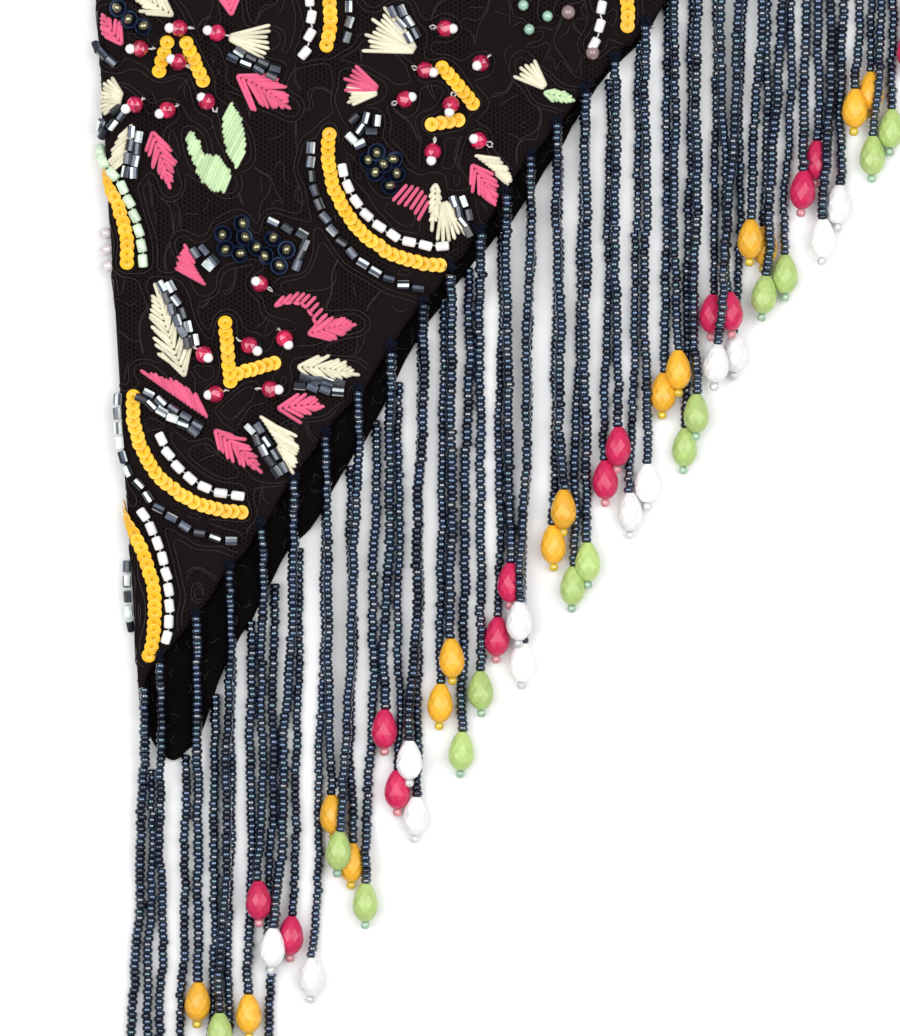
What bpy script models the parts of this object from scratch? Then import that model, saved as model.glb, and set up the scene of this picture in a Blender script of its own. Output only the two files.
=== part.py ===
"""A triangular bandana with a beaded fringe, folded in two along its middle and laid flat.

Metres, +Z up. The table is z = 0, the bandana's point lies toward -Y and the strands hang toward -Y.
All sizes below are millimetres. A place on the cloth is given in the flat cut: "across" is measured
from the fold, plus on the front half and minus on the half that lies beneath, and "along" runs up
the fold from the lowest point of the cloth.
"""

import math
import random

import bmesh
import bpy
import numpy as np
from mathutils import Vector

MM = 0.001


def table(names, *rows):
    """Rows of numbers with named columns."""
    return [dict(zip(names.split(), row)) for row in rows]


# The flat cut
SIDE = 466.0
FRONT_ANGLE = math.radians(41.1)
BACK_ANGLE = math.radians(37.4)
CORNER_ACROSS = -8.3
CORNER_ALONG = 8.2
BLUNT = 4.0

# How far the hem lies off its straight line, up the fold
HEM_ROWS = table(
    "out front_lift back_lift",
    (0.0, -8.2, -8.2),
    (3.0, -8.8, -9.6),
    (6.0, -6.6, -10.0),
    (9.0, -2.4, -7.6),
    (12.0, -1.4, -4.4),
    (16.0, -2.2, -2.4),
    (24.0, -2.8, -0.6),
    (44.0, -1.2, -0.6),
    (58.0, 0.2, 3.4),
    (68.0, 0.6, 6.0),
    (80.0, 1.4, 1.4),
    (92.0, 0.0, 0.2),
    (105.0, 2.8, 0.4),
    (118.0, 1.6, -2.2),
    (133.0, -1.2, -0.6),
    (165.0, 0.0, 0.0),
    (205.0, 2.0, 1.6),
    (250.0, 0.0, 0.0),
    (400.0, 0.0, 0.0),
)

# The fold and the layers, from the table up
LEAN = math.radians(3.5)
FOLD_RADIUS = 3.0
FACE_WALL = 1.2
GAP = 0.3
LINING_WALL = 1.5
LINING_INSET = 1.2
LINING_SOFT = 0.4
QUARTER = FOLD_RADIUS * math.pi / 2

# The worked motifs, raised in the face's outer points: arcs, and rounds for the sprays and cups
CRESCENT = table(
    "across along radius start end reach height",
    (77.0, 135.1, 26.0, 169.0, 270.0, 7.0, 1.3),
    (28.0, 80.2, 23.5, 172.0, 269.0, 7.0, 1.3),
    (-15.3, 41.0, 21.0, -32.0, 36.0, 6.0, 1.2),
    (-14.0, 126.0, 20.0, -32.0, 40.0, 6.0, 1.2),
    (30.0, 172.0, 23.0, -38.0, 40.0, 6.0, 1.2),
)
SPRAY = table(
    "across along radius start end reach height",
    (21.7, 154.4, 9.0, 0.0, 360.0, 10.0, 0.8),
    (81.1, 146.2, 10.0, 0.0, 360.0, 12.0, 0.8),
    (29.2, 92.8, 10.0, 0.0, 360.0, 12.0, 0.8),
)
CUPS = table(
    "across along radius start end reach height",
    (64.4, 132.5, 3.0, 0.0, 360.0, 5.0, 0.6),
    (34.5, 116.7, 4.0, 0.0, 360.0, 6.0, 0.6),
)
MOTIF_SHOULDER = 1.6
REPEAT_ACROSS = (59.4, -8.2)
REPEAT_ALONG = (-7.5, 61.6)
REPEAT_EDGE = 34.0
REPEAT_SPAN = 7

# The fringe: where the strands are rooted down each hem, and their hang
FRONT_ROOTS = table("first pitch", (3.4, 11.2), (25.8, 12.4), (125.0, 10.1), (215.9, 8.6), (267.5, 10.2))
BACK_ROOTS = table("first pitch", (1.5, 10.6))
ROOT_END = 7.0
ROOT_OUT = 1.0
ROOT_DROP = 1.6
ROOT_FREE = 4.0
SHORT_STRAND = 83.5
LONG_STRAND = 101.5
FRONT_SHORTER = 4.0
SHORT_DRIFT = -0.9
LONG_DRIFT = -2.7
LENGTH_SPREAD = 2.0
DRIFT_SPREAD = 0.9
DRIFT_POWER = 1.3
WAVE = 0.35
WAVE_TURNS = (1.2, 2.4)
BEAD_RADIUS = 1.05
DROP_ROWS = table("down radius", (0.0, 0.9), (4.9, 2.7), (8.3, 0.9), (10.4, 0.9))
DROP_MIDDLE = 4.3
SEED = 11

# How the strands settle on the table, the cloth and each other
FLOOR_CLEAR = 0.1
STRAND_CLEAR = 0.4
HEM_CLEAR_ALONG = 1.4
NEAR_STRANDS = 16.0
PAST_END = 1.5
SLOPE = 0.45
STEP = 1.0
NUDGES = (0.0, -0.6, 0.6, -1.2, 1.2, -1.8, 1.8, -2.4, 2.4, -3.0, 3.0)
NUDGE_COST = 0.3
END_POINTS = 12
CHORD = 0.22

# The strip that the strands are rooted in
STRIP_OUT = (0.3, 1.9)
STRIP_HALF = 0.9
STRIP_BEYOND = 1.6
STRIP_STEP = 3.0
STRIP_APART = 1.4
POINT_REACH = 36.0
UPPER_FROM = 1.0
HEM_STEP = 0.5
HEM_SPAN = 1.2

# The grid of the face
GRID = 7.0
BEND_STEPS = 6


def read_column(rows, at, name):
    """A table's named column, read between its rows at a value of its first column."""
    first = next(iter(rows[0]))
    return float(np.interp(at, [row[first] for row in rows], [row[name] for row in rows]))


def hem(across):
    """How far along the fold the hem lies at this place across."""
    out = abs(across - CORNER_ACROSS)
    front = across > CORNER_ACROSS
    angle = FRONT_ANGLE if front else BACK_ANGLE
    lift = read_column(HEM_ROWS, out, "front_lift" if front else "back_lift")
    return CORNER_ALONG + out / math.tan(angle) + lift


def side_end(angle, sign):
    """The far corner of a side, on the flat cut."""
    return (
        CORNER_ACROSS + sign * SIDE * math.sin(angle),
        CORNER_ALONG + SIDE * math.cos(angle),
    )


def top(across):
    """How far along the fold the top edge lies at this place across."""
    front_end, back_end = side_end(FRONT_ANGLE, 1), side_end(BACK_ANGLE, -1)
    share = (across - back_end[0]) / (front_end[0] - back_end[0])
    return back_end[1] + share * (front_end[1] - back_end[1])


def folded(across, depth):
    """Where a place across comes to lie: out from the fold's outer line, and height."""
    turn = max(-math.pi / 2, min(math.pi / 2, across / FOLD_RADIUS))
    radius = FOLD_RADIUS - depth
    out = FOLD_RADIUS - radius * math.cos(turn) + max(0.0, abs(across) - QUARTER)
    return out, FOLD_RADIUS + radius * math.sin(turn)


def turned(out, along):
    """Table places from places beside and along the fold, before the piece is centred."""
    return (
        out * math.cos(LEAN) - along * math.sin(LEAN),
        out * math.sin(LEAN) + along * math.cos(LEAN),
    )


def unturned(x, y):
    """Out from the fold and along it, from a table place."""
    return (
        x * math.cos(LEAN) + y * math.sin(LEAN),
        -x * math.sin(LEAN) + y * math.cos(LEAN),
    )


def on_cloth(across, along, depth):
    """A point of the folded cloth, so far in from its outer face."""
    out, height = folded(across, depth)
    x, y = turned(out, along)
    return Vector((x, y, height))


def motifs():
    """The worked motifs, with those past the ones placed by hand repeated over the rest of the front."""
    rows = [*CRESCENT, *SPRAY, *CUPS]
    unit = (CRESCENT[1], SPRAY[2], CUPS[1])
    first, home = SPRAY[0], SPRAY[2]
    for i in range(-REPEAT_SPAN, REPEAT_SPAN + 1):
        for j in range(1, REPEAT_SPAN):
            across = first["across"] + i * REPEAT_ACROSS[0] + j * REPEAT_ALONG[0]
            along = first["along"] + i * REPEAT_ACROSS[1] + j * REPEAT_ALONG[1]
            inside = hem(across) + REPEAT_EDGE < along < top(across) - REPEAT_EDGE / 2
            if across < REPEAT_EDGE / 2 or not inside:
                continue
            for row in unit:
                moved = {
                    "across": row["across"] - home["across"] + across,
                    "along": row["along"] - home["along"] + along,
                }
                rows.append({**row, **moved})
    return rows


def away_from_arc(x, y, row):
    """How far a place, counted from an arc's centre, lies from the arc."""
    radius = row["radius"]
    turn = math.degrees(math.atan2(y, x))
    turn += 360.0 * math.ceil((row["start"] - turn) / 360.0)
    if turn <= row["end"]:
        return abs(math.hypot(x, y) - radius)
    ends = [math.radians(row["start"]), math.radians(row["end"])]
    return min(math.hypot(x - radius * math.cos(a), y - radius * math.sin(a)) for a in ends)


def raised(across, along, rows):
    """How far the face's outer point stands up at a worked motif."""
    height = 0.0
    for row in rows:
        away = away_from_arc(across - row["across"], along - row["along"], row)
        share = MOTIF_SHOULDER * (1.0 - away / row["reach"])
        height = max(height, row["height"] * min(1.0, max(0.0, share)))
    return height


def columns():
    """The places across where the face has a column of points: each of the hem's rows, and between."""
    outs = [row["out"] for row in HEM_ROWS[:-1]]
    front_end = side_end(FRONT_ANGLE, 1)[0] - BLUNT
    back_end = side_end(BACK_ANGLE, -1)[0] + BLUNT
    fixed = [QUARTER, *[CORNER_ACROSS + o for o in outs if CORNER_ACROSS + o > QUARTER], front_end]
    front = []
    for low, high in zip(fixed, fixed[1:]):
        front += list(np.linspace(low, high, max(1, round((high - low) / GRID)) + 1)[:-1])
    bend = list(np.linspace(-QUARTER, QUARTER, BEND_STEPS + 1))
    far = [back_end, *[CORNER_ACROSS - o for o in reversed(outs)]]
    point = [CORNER_ACROSS + o for o in outs if 0.0 < o < -QUARTER - CORNER_ACROSS]
    return [*far, *point, *bend[:-1], *front, front_end]


def zip_faces(bm, first, second):
    """Triangles between two rows of points that may differ in number."""
    i = j = 0
    while i < len(first) - 1 or j < len(second) - 1:
        step_first = (i + 1) / max(1, len(first) - 1)
        step_second = (j + 1) / max(1, len(second) - 1)
        go_first = j == len(second) - 1 or (i < len(first) - 1 and step_first <= step_second)
        third = first[i + 1] if go_first else second[j + 1]
        bm.faces.new((first[i], second[j], third))
        if go_first:
            i += 1
        else:
            j += 1


def finish_mesh(bm, name, shift):
    """Turn the millimetre mesh into a centred object in metres, with its faces outward."""
    bmesh.ops.recalc_face_normals(bm, faces=bm.faces)
    if bm.calc_volume(signed=True) < 0.0:
        bmesh.ops.reverse_faces(bm, faces=bm.faces)
    for vert in bm.verts:
        vert.co = (vert.co - shift) * MM
    mesh = bpy.data.meshes.new(name)
    bm.to_mesh(mesh)
    bm.free()
    return bpy.data.objects.new(name, mesh)


def material(name, colour, roughness, sheen=0.0):
    made = bpy.data.materials.new(name)
    made.use_nodes = True
    bsdf = made.node_tree.nodes["Principled BSDF"]
    bsdf.inputs["Base Color"].default_value = (*colour, 1.0)
    bsdf.inputs["Roughness"].default_value = roughness
    bsdf.inputs["Metallic"].default_value = 0.0
    bsdf.inputs["Sheen Weight"].default_value = sheen
    return made


def make_face(shift):
    """The worked lace: a wall that wraps round the fold, raised outside at its motifs and plain inside."""
    bm = bmesh.new()
    rows = motifs()
    outer, inner = [], []
    for across in columns():
        low, high = hem(across), top(across)
        steps = max(1, round((high - low) / GRID)) if across > -QUARTER - 0.01 else 1
        column = []
        for k in range(steps + 1):
            along = low + (high - low) * k / steps
            edge = min(1.0, k, steps - k) if steps > 1 else 0.0
            lift = raised(across, along, rows) * edge if across > 0.0 else 0.0
            column.append(bm.verts.new(on_cloth(across, along, -lift)))
        outer.append(column)
        inner.append([bm.verts.new(on_cloth(across, along, FACE_WALL)) for along in (low, high)])
    for k in range(len(outer) - 1):
        zip_faces(bm, outer[k], outer[k + 1])
        bm.faces.new((inner[k][0], inner[k][1], inner[k + 1][1], inner[k + 1][0]))
        for end in (0, -1):
            bm.faces.new((outer[k][end], outer[k + 1][end], inner[k + 1][end], inner[k][end]))
    for k in (0, -1):
        bm.faces.new([*outer[k], inner[k][1], inner[k][0]])
    return finish_mesh(bm, "lace_face", shift)


def layer_outline(sign):
    """The edge of one half's lining, beside and along the fold, a little inside the face's edge."""
    angle = FRONT_ANGLE if sign > 0 else BACK_ANGLE
    far = abs(side_end(angle, sign)[0]) - BLUNT - LINING_INSET
    rows = sorted(abs(CORNER_ACROSS + sign * row["out"]) for row in HEM_ROWS)
    places = [QUARTER, *[p for p in rows if QUARTER < p < far - BLUNT], far]
    up = LINING_INSET / math.sin(angle)
    low = [(p - QUARTER + FOLD_RADIUS, hem(sign * p) + up) for p in places]
    ends = (places[0], places[-1])
    high = [(p - QUARTER + FOLD_RADIUS, top(sign * p) - LINING_INSET) for p in ends]
    return [*low, high[1], high[0]]


def slab(name, outline, low, high):
    """A flat outline given thickness, its rim softened, as a mesh object in millimetres."""
    curve = bpy.data.curves.new(name, "CURVE")
    curve.dimensions = "2D"
    curve.fill_mode = "BOTH"
    curve.extrude = (high - low) / 2
    spline = curve.splines.new("POLY")
    spline.points.add(len(outline) - 1)
    for point, (out, along) in zip(spline.points, outline):
        point.co = (*turned(out, along), 0.0, 1.0)
    spline.use_cyclic_u = True
    drawn = bpy.data.objects.new(name + "_outline", curve)
    bpy.context.scene.collection.objects.link(drawn)
    view = bpy.context.evaluated_depsgraph_get()
    mesh = bpy.data.meshes.new_from_object(drawn.evaluated_get(view))
    bpy.data.objects.remove(drawn)
    bm = bmesh.new()
    bm.from_mesh(mesh)
    bmesh.ops.remove_doubles(bm, verts=bm.verts, dist=0.001)
    for vert in bm.verts:
        vert.co.z += (high + low) / 2
    rim = [e for e in bm.edges if len(e.link_faces) == 2 and abs(e.calc_face_angle(0.0)) > 1.2]
    flat_rim = [e for e in rim if abs(e.verts[0].co.z - e.verts[1].co.z) < 0.01]
    bmesh.ops.bevel(bm, geom=flat_rim, offset=LINING_SOFT, segments=1, affect="EDGES")
    bmesh.ops.recalc_face_normals(bm, faces=bm.faces)
    bm.to_mesh(mesh)
    bm.free()
    return bpy.data.objects.new(name, mesh)


def roll(name, low, high):
    """The lining's rounded turn inside the fold, in millimetres."""
    bm = bmesh.new()
    radius = LINING_WALL
    bmesh.ops.create_cone(
        bm, cap_ends=True, segments=16, radius1=radius, radius2=radius, depth=high - low
    )
    for vert in bm.verts:
        out, height = FOLD_RADIUS + vert.co.x, FOLD_RADIUS + vert.co.y
        x, y = turned(out, vert.co.z + (high + low) / 2)
        vert.co = (x, y, height)
    bmesh.ops.recalc_face_normals(bm, faces=bm.faces)
    mesh = bpy.data.meshes.new(name)
    bm.to_mesh(mesh)
    bm.free()
    return bpy.data.objects.new(name, mesh)


def make_lining(shift, cutters):
    """The lining of both halves as one rounded solid, stepped where the front's hem stops short."""
    low = FACE_WALL + GAP
    middle = FOLD_RADIUS
    high = 2 * FOLD_RADIUS - low
    under = slab("lining", layer_outline(-1), low, middle + 0.04)
    over = slab("lining_front", layer_outline(1), middle - 0.04, high)
    bend = roll("lining_turn", hem(QUARTER) + 2 * LINING_INSET, top(0.0) - LINING_INSET)
    for part in (under, over, bend):
        bpy.context.scene.collection.objects.link(part)
    for part in (over, bend):
        cutters.objects.link(part)
        bpy.context.scene.collection.objects.unlink(part)
        part.hide_render = True
        part.display_type = "WIRE"
        union = under.modifiers.new(part.name, "BOOLEAN")
        union.operation = "UNION"
        union.object = part
    view = bpy.context.evaluated_depsgraph_get()
    bm = bmesh.new()
    bm.from_mesh(under.evaluated_get(view).to_mesh())
    bpy.data.objects.remove(under)
    return finish_mesh(bm, "lining", shift)


def hem_line(sign):
    """Fine points down one hem from the lowest point of the cloth: distance, across, along."""
    angle = FRONT_ANGLE if sign > 0 else BACK_ANGLE
    reach = abs(side_end(angle, sign)[0] - CORNER_ACROSS) - BLUNT
    places = CORNER_ACROSS + sign * np.arange(0.0, reach, HEM_STEP)
    points = np.array([(a, hem(a)) for a in places])
    steps = np.linalg.norm(np.diff(points, axis=0), axis=1)
    return np.concatenate([[0.0], np.cumsum(steps)]), points


def hem_at(line, distance):
    distances, points = line
    return tuple(float(np.interp(distance, distances, points[:, k])) for k in (0, 1))


def hem_frame(line, distance, sign):
    """A place on the hem in the layer's middle, with its outward and upward directions."""
    middle = (FACE_WALL + GAP + FOLD_RADIUS) / 3
    across, along = hem_at(line, distance)
    before, after = hem_at(line, distance - HEM_SPAN), hem_at(line, distance + HEM_SPAN)
    run = (Vector(after) - Vector(before)).normalized()
    outward = Vector((run.y, -run.x)) * sign
    here = on_cloth(across, along, middle)
    beyond = on_cloth(across + outward.x * 0.2, along + outward.y * 0.2, middle)
    skin = on_cloth(across, along, middle - 0.2)
    return here, (beyond - here).normalized(), (skin - here).normalized()


def root_distances(rows, end):
    """The distances along a hem where strands are rooted."""
    found = []
    for k, row in enumerate(rows):
        last = rows[k + 1]["first"] if k + 1 < len(rows) else end
        found += list(np.arange(row["first"], last - 0.1, row["pitch"]))
    return found


def covered(x, y, margin):
    """Whether the half that lies beneath, with this margin round it, is under a table place."""
    out, along = unturned(x, y)
    if out < -margin:
        return False
    inside = max(0.0, min(out, FOLD_RADIUS))
    bend = FOLD_RADIUS * math.acos(1.0 - inside / FOLD_RADIUS)
    across = -bend - max(0.0, out - FOLD_RADIUS)
    return along > hem(across) - HEM_CLEAR_ALONG * margin


def strand_plans():
    """Every strand's side, root and form, those of the half beneath first."""
    chance = random.Random(SEED)
    plans = []
    for sign, rows in ((-1, BACK_ROOTS), (1, FRONT_ROOTS)):
        line = hem_line(sign)
        for k, distance in enumerate(root_distances(rows, line[0][-1] - ROOT_END)):
            long = (k + 1) % 2
            length = LONG_STRAND if long else SHORT_STRAND
            drift = LONG_DRIFT if long else SHORT_DRIFT
            length += chance.uniform(-LENGTH_SPREAD, LENGTH_SPREAD) - (FRONT_SHORTER if sign > 0 else 0.0)
            drift += chance.uniform(-DRIFT_SPREAD, DRIFT_SPREAD)
            here, outward, _ = hem_frame(line, distance, sign)
            upper = sign > 0 and hem_at(line, distance)[0] > UPPER_FROM
            plans.append(
                {
                    "sign": sign,
                    "distance": distance,
                    "upper": upper,
                    "start": here + outward * (STRIP_OUT[1] + ROOT_OUT),
                    "length": length,
                    "drift": drift,
                    "phase": chance.uniform(0.0, 2 * math.pi),
                    "turns": chance.uniform(*WAVE_TURNS),
                }
            )
    return plans


def strand_radius(down, length):
    """A strand's radius at a distance below its root."""
    below = down - (length - DROP_MIDDLE)
    if below < 0.0:
        return BEAD_RADIUS
    return read_column(DROP_ROWS, below, "radius")


def drop_marks(plan):
    """How far down a strand each ring of its drop is."""
    return [plan["length"] - DROP_MIDDLE + row["down"] for row in DROP_ROWS]


def strand_line(plan, nudge, laid):
    """The strand's places from its root down, resting on the table, the cloth or what lies there."""
    start = plan["start"]
    marks = drop_marks(plan)
    whole = marks[-1]
    downs = np.unique(np.round([*np.arange(0.0, whole, STEP), *marks], 4))
    ys = start.y - ROOT_DROP - downs
    share = downs / whole
    sway = WAVE * np.sin(plan["phase"] + 2 * math.pi * plan["turns"] * share) * share
    xs = start.x + (plan["drift"] + nudge) * share**DRIFT_POWER + sway
    radii = np.array([strand_radius(d, plan["length"]) for d in downs])
    need = radii + FLOOR_CLEAR
    rise = FOLD_RADIUS + GAP
    for k, (x, y) in enumerate(zip(xs, ys)):
        free = downs[k] < ROOT_FREE and not plan["upper"]
        if not free and covered(x, y, STRIP_OUT[1] + radii[k] + STRAND_CLEAR):
            need[k] = max(need[k], rise + radii[k])
    for other in laid:
        if abs(other["x"][0] - xs[0]) > NEAR_STRANDS:
            continue
        there = (ys <= other["y"][0] + PAST_END) & (ys >= other["y"][-1] - PAST_END)
        ox, oz, orad = (np.interp(-ys, -other["y"], other[key]) for key in ("x", "z", "r"))
        reach = radii + orad + STRAND_CLEAR
        near = there & (np.abs(xs - ox) < reach)
        over = oz + np.sqrt(np.maximum(0.0, reach**2 - (xs - ox) ** 2))
        need = np.where(near, np.maximum(need, over), need)
    need[0] = max(need[0], start.z)
    apart = np.abs(downs[:, None] - downs[None, :])
    zs = (need[None, :] - SLOPE * apart).max(axis=1)
    return {"x": xs, "y": ys, "z": zs, "r": radii, "down": downs}


def lay_strands():
    """Lay the strands down one after another, each turned a little to where its drop rests lowest."""
    laid = []
    for plan in strand_plans():
        tries = [strand_line(plan, nudge, laid) for nudge in NUDGES]
        costs = [t["z"][-END_POINTS:].max() + NUDGE_COST * abs(n) for t, n in zip(tries, NUDGES)]
        best = tries[int(np.argmin(costs))]
        laid.append({**plan, **best})
    return laid


def ring_places(strand):
    """The few places along a strand where its solid has a ring of points."""
    downs = strand["down"]
    marks = [0.0, *drop_marks(strand)]
    last = int(np.argmin(np.abs(downs - marks[1])))
    line = np.stack([strand["x"], strand["z"]], axis=1)

    def split(low, high):
        share = (downs[low : high + 1] - downs[low]) / (downs[high] - downs[low])
        chord = line[low] + share[:, None] * (line[high] - line[low])
        off = np.linalg.norm(line[low : high + 1] - chord, axis=1)
        worst = int(off.argmax())
        if off[worst] < CHORD:
            return []
        return [*split(low, low + worst), low + worst, *split(low + worst, high)]

    return [float(downs[k]) for k in split(0, last)], marks


def strand_rings(strand):
    """A strand's rings of four corners, from below its root to its end."""
    middle, marks = ring_places(strand)
    rings = []
    for down in sorted([*middle, *marks]):
        x, y, z = (float(np.interp(down, strand["down"], strand[key])) for key in "xyz")
        radius = strand_radius(down, strand["length"])
        corners = ((0, -1), (1, 0), (0, 1), (-1, 0))
        rings.append([Vector((x + radius * a, y, z + radius * b)) for a, b in corners])
    return rings


def strip_stations(roots, ends):
    """The distances where the strip has a section: both sides of each root, and where the hem bends."""
    stations = [ends[0], ends[1]]
    for root in roots:
        stations += [root - BEAD_RADIUS, root + BEAD_RADIUS]
    for bend in np.arange(ends[0] + STRIP_STEP, min(ends[1], POINT_REACH), STRIP_STEP):
        if all(abs(bend - s) > STRIP_APART for s in stations):
            stations.append(bend)
    return sorted(stations)


def strip_section(line, sign, distance):
    here, outward, up = hem_frame(line, distance, sign)
    near, far = STRIP_OUT
    return [
        here + outward * near - up * STRIP_HALF,
        here + outward * near + up * STRIP_HALF,
        here + outward * far + up * STRIP_HALF,
        here + outward * far - up * STRIP_HALF,
    ]


def nearest_way(ring, corners):
    """A root's four corners, taken round in the order that meets the strand's first ring squarely."""
    ways = [r[k:] + r[:k] for r in (ring, ring[::-1]) for k in range(4)]
    return min(ways, key=lambda way: sum((v.co - c).length_squared for v, c in zip(way, corners)))


def make_fringe(name, strands, upper, shift):
    """A narrow strip along the hem with its strands, all one body."""
    front = hem_line(1)
    back = hem_line(-1)
    roots = {(s["sign"], round(s["distance"], 3)): s for s in strands if s["upper"] == upper}
    front_roots = [s["distance"] for s in strands if s["upper"] == upper and s["sign"] > 0]
    if upper:
        front_span = (front_roots[0] - STRIP_BEYOND, front[0][-1] - STRIP_BEYOND)
    else:
        front_span = (0.0, front_roots[-1] + STRIP_BEYOND)
    sections = []
    for d in strip_stations(front_roots, front_span):
        sections.append((1, d, strip_section(front, 1, d)))
    if not upper:
        back_roots = [s["distance"] for s in strands if s["sign"] < 0]
        ends = (back_roots[0] - BEAD_RADIUS, back[0][-1] - STRIP_BEYOND)
        for d in strip_stations(back_roots, ends):
            sections.insert(0, (-1, d, strip_section(back, -1, d)))
    bm = bmesh.new()
    rings = [[bm.verts.new(p) for p in section] for _, _, section in sections]
    bm.faces.new(rings[0])
    bm.faces.new(rings[-1])
    for k in range(len(rings) - 1):
        first, second = rings[k], rings[k + 1]
        for side in (0, 1, 3):
            after = (side + 1) % 4
            bm.faces.new((first[side], first[after], second[after], second[side]))
        same = sections[k][0] == sections[k + 1][0]
        middle = round((sections[k][1] + sections[k + 1][1]) / 2, 3)
        strand = roots.get((sections[k][0], middle)) if same else None
        if strand is None:
            bm.faces.new((first[2], first[3], second[3], second[2]))
            continue
        corner_rings = strand_rings(strand)
        ring = nearest_way([first[2], first[3], second[3], second[2]], corner_rings[0])
        for corners in corner_rings:
            made = [bm.verts.new(p) for p in corners]
            for side in range(4):
                after = (side + 1) % 4
                bm.faces.new((ring[side], ring[after], made[after], made[side]))
            ring = made
        bm.faces.new(ring)
    return finish_mesh(bm, name, shift)


def centre_shift(strands):
    """The middle of everything on the table, which becomes the origin."""
    edge = []
    for across in columns():
        for along in (hem(across), top(across)):
            out, _ = folded(across, 0.0)
            edge.append(turned(out, along))
    xs = [p[0] for p in edge] + [float(v) for s in strands for v in (s["x"] - s["r"])]
    xs += [float(v) for s in strands for v in (s["x"] + s["r"])]
    ys = [p[1] for p in edge] + [float(s["y"][-1]) for s in strands]
    return Vector(((min(xs) + max(xs)) / 2, (min(ys) + max(ys)) / 2, 0.0))


def main():
    for old in list(bpy.data.objects):
        bpy.data.objects.remove(old)
    scene = bpy.context.scene
    parts = bpy.data.collections.new("bandana")
    cutters = bpy.data.collections.new("bandana_cutters")
    scene.collection.children.link(parts)
    scene.collection.children.link(cutters)
    strands = lay_strands()
    shift = centre_shift(strands)
    lace = material("black_lace", (0.012, 0.010, 0.011), 0.85, 0.2)
    lining = material("black_lining", (0.008, 0.007, 0.008), 0.95, 0.4)
    beads = material("navy_beads", (0.02, 0.03, 0.07), 0.25)
    pieces = (
        (make_face(shift), lace),
        (make_lining(shift, cutters), lining),
        (make_fringe("fringe_front", strands, True, shift), beads),
        (make_fringe("fringe_back", strands, False, shift), beads),
    )
    for piece, finish in pieces:
        parts.objects.link(piece)
        piece.data.materials.append(finish)


main()
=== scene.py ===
"""The looks of a beaded triangular bandana, folded in two and laid flat.

Laid out as a Blender add-on and run as a script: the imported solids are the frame, and each operator
dresses them with one piece or a group of like pieces. Lengths are millimetres, turned to metres where
a mesh is made. A place on the cloth is given in the flat cut: "across" is measured from the fold, plus
on the front half, and "along" runs up the fold from the lowest point of the cloth.
"""

import math
import random

import bpy
import numpy as np
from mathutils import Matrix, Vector


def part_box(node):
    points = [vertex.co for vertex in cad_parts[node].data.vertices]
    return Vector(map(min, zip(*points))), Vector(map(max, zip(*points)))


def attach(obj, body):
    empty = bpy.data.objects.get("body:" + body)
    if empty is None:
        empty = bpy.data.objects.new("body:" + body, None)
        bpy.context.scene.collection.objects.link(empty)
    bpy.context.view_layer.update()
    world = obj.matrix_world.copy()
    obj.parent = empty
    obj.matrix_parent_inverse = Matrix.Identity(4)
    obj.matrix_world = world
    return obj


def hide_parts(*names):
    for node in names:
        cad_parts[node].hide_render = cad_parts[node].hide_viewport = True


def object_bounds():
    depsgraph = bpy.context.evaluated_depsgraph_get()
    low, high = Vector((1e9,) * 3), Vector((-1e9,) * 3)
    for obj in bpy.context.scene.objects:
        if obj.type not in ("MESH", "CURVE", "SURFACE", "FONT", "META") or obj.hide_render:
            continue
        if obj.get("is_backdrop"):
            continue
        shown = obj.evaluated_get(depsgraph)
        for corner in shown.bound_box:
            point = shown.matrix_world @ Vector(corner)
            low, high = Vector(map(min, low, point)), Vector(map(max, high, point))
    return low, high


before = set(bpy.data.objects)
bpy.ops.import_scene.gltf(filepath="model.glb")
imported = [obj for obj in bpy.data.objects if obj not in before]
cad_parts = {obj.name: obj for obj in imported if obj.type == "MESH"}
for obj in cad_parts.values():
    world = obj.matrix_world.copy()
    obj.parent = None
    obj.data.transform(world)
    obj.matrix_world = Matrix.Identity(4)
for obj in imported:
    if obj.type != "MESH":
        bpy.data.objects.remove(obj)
CAD_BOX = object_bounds()

bl_info = {
    "name": "Beaded bandana",
    "version": (1, 0, 0),
    "blender": (4, 5, 0),
    "location": "3D View > Sidebar > Bandana",
    "description": "Dresses a folded bandana with lace, embroidery and a beaded fringe",
    "category": "Object",
}

MM = 0.001


def table(names, *rows):
    """Rows of values with named columns."""
    return [dict(zip(names.split(), row)) for row in rows]


# The flat cut, as the solids have it
SIDE = 466.0
FRONT_ANGLE = math.radians(41.1)
BACK_ANGLE = math.radians(37.4)
CORNER_ACROSS = -8.3
CORNER_ALONG = 8.2
BLUNT = 4.0
HEM_ROWS = table(
    "out front_lift back_lift",
    (0.0, -8.2, -8.2),
    (3.0, -8.8, -9.6),
    (6.0, -6.6, -10.0),
    (9.0, -2.4, -7.6),
    (12.0, -1.4, -4.4),
    (16.0, -2.2, -2.4),
    (24.0, -2.8, -0.6),
    (44.0, -1.2, -0.6),
    (58.0, 0.2, 3.4),
    (68.0, 0.6, 6.0),
    (80.0, 1.4, 1.4),
    (92.0, 0.0, 0.2),
    (105.0, 2.8, 0.4),
    (118.0, 1.6, -2.2),
    (133.0, -1.2, -0.6),
    (165.0, 0.0, 0.0),
    (205.0, 2.0, 1.6),
    (250.0, 0.0, 0.0),
    (400.0, 0.0, 0.0),
)

# The fold and its layers
LEAN = math.radians(3.5)
FOLD_RADIUS = 3.0
FACE_WALL = 1.2
GAP = 0.3
QUARTER = FOLD_RADIUS * math.pi / 2
LINING_INSET = 0.4
LINING_DEPTHS = (1.5, 2.85)

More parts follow.
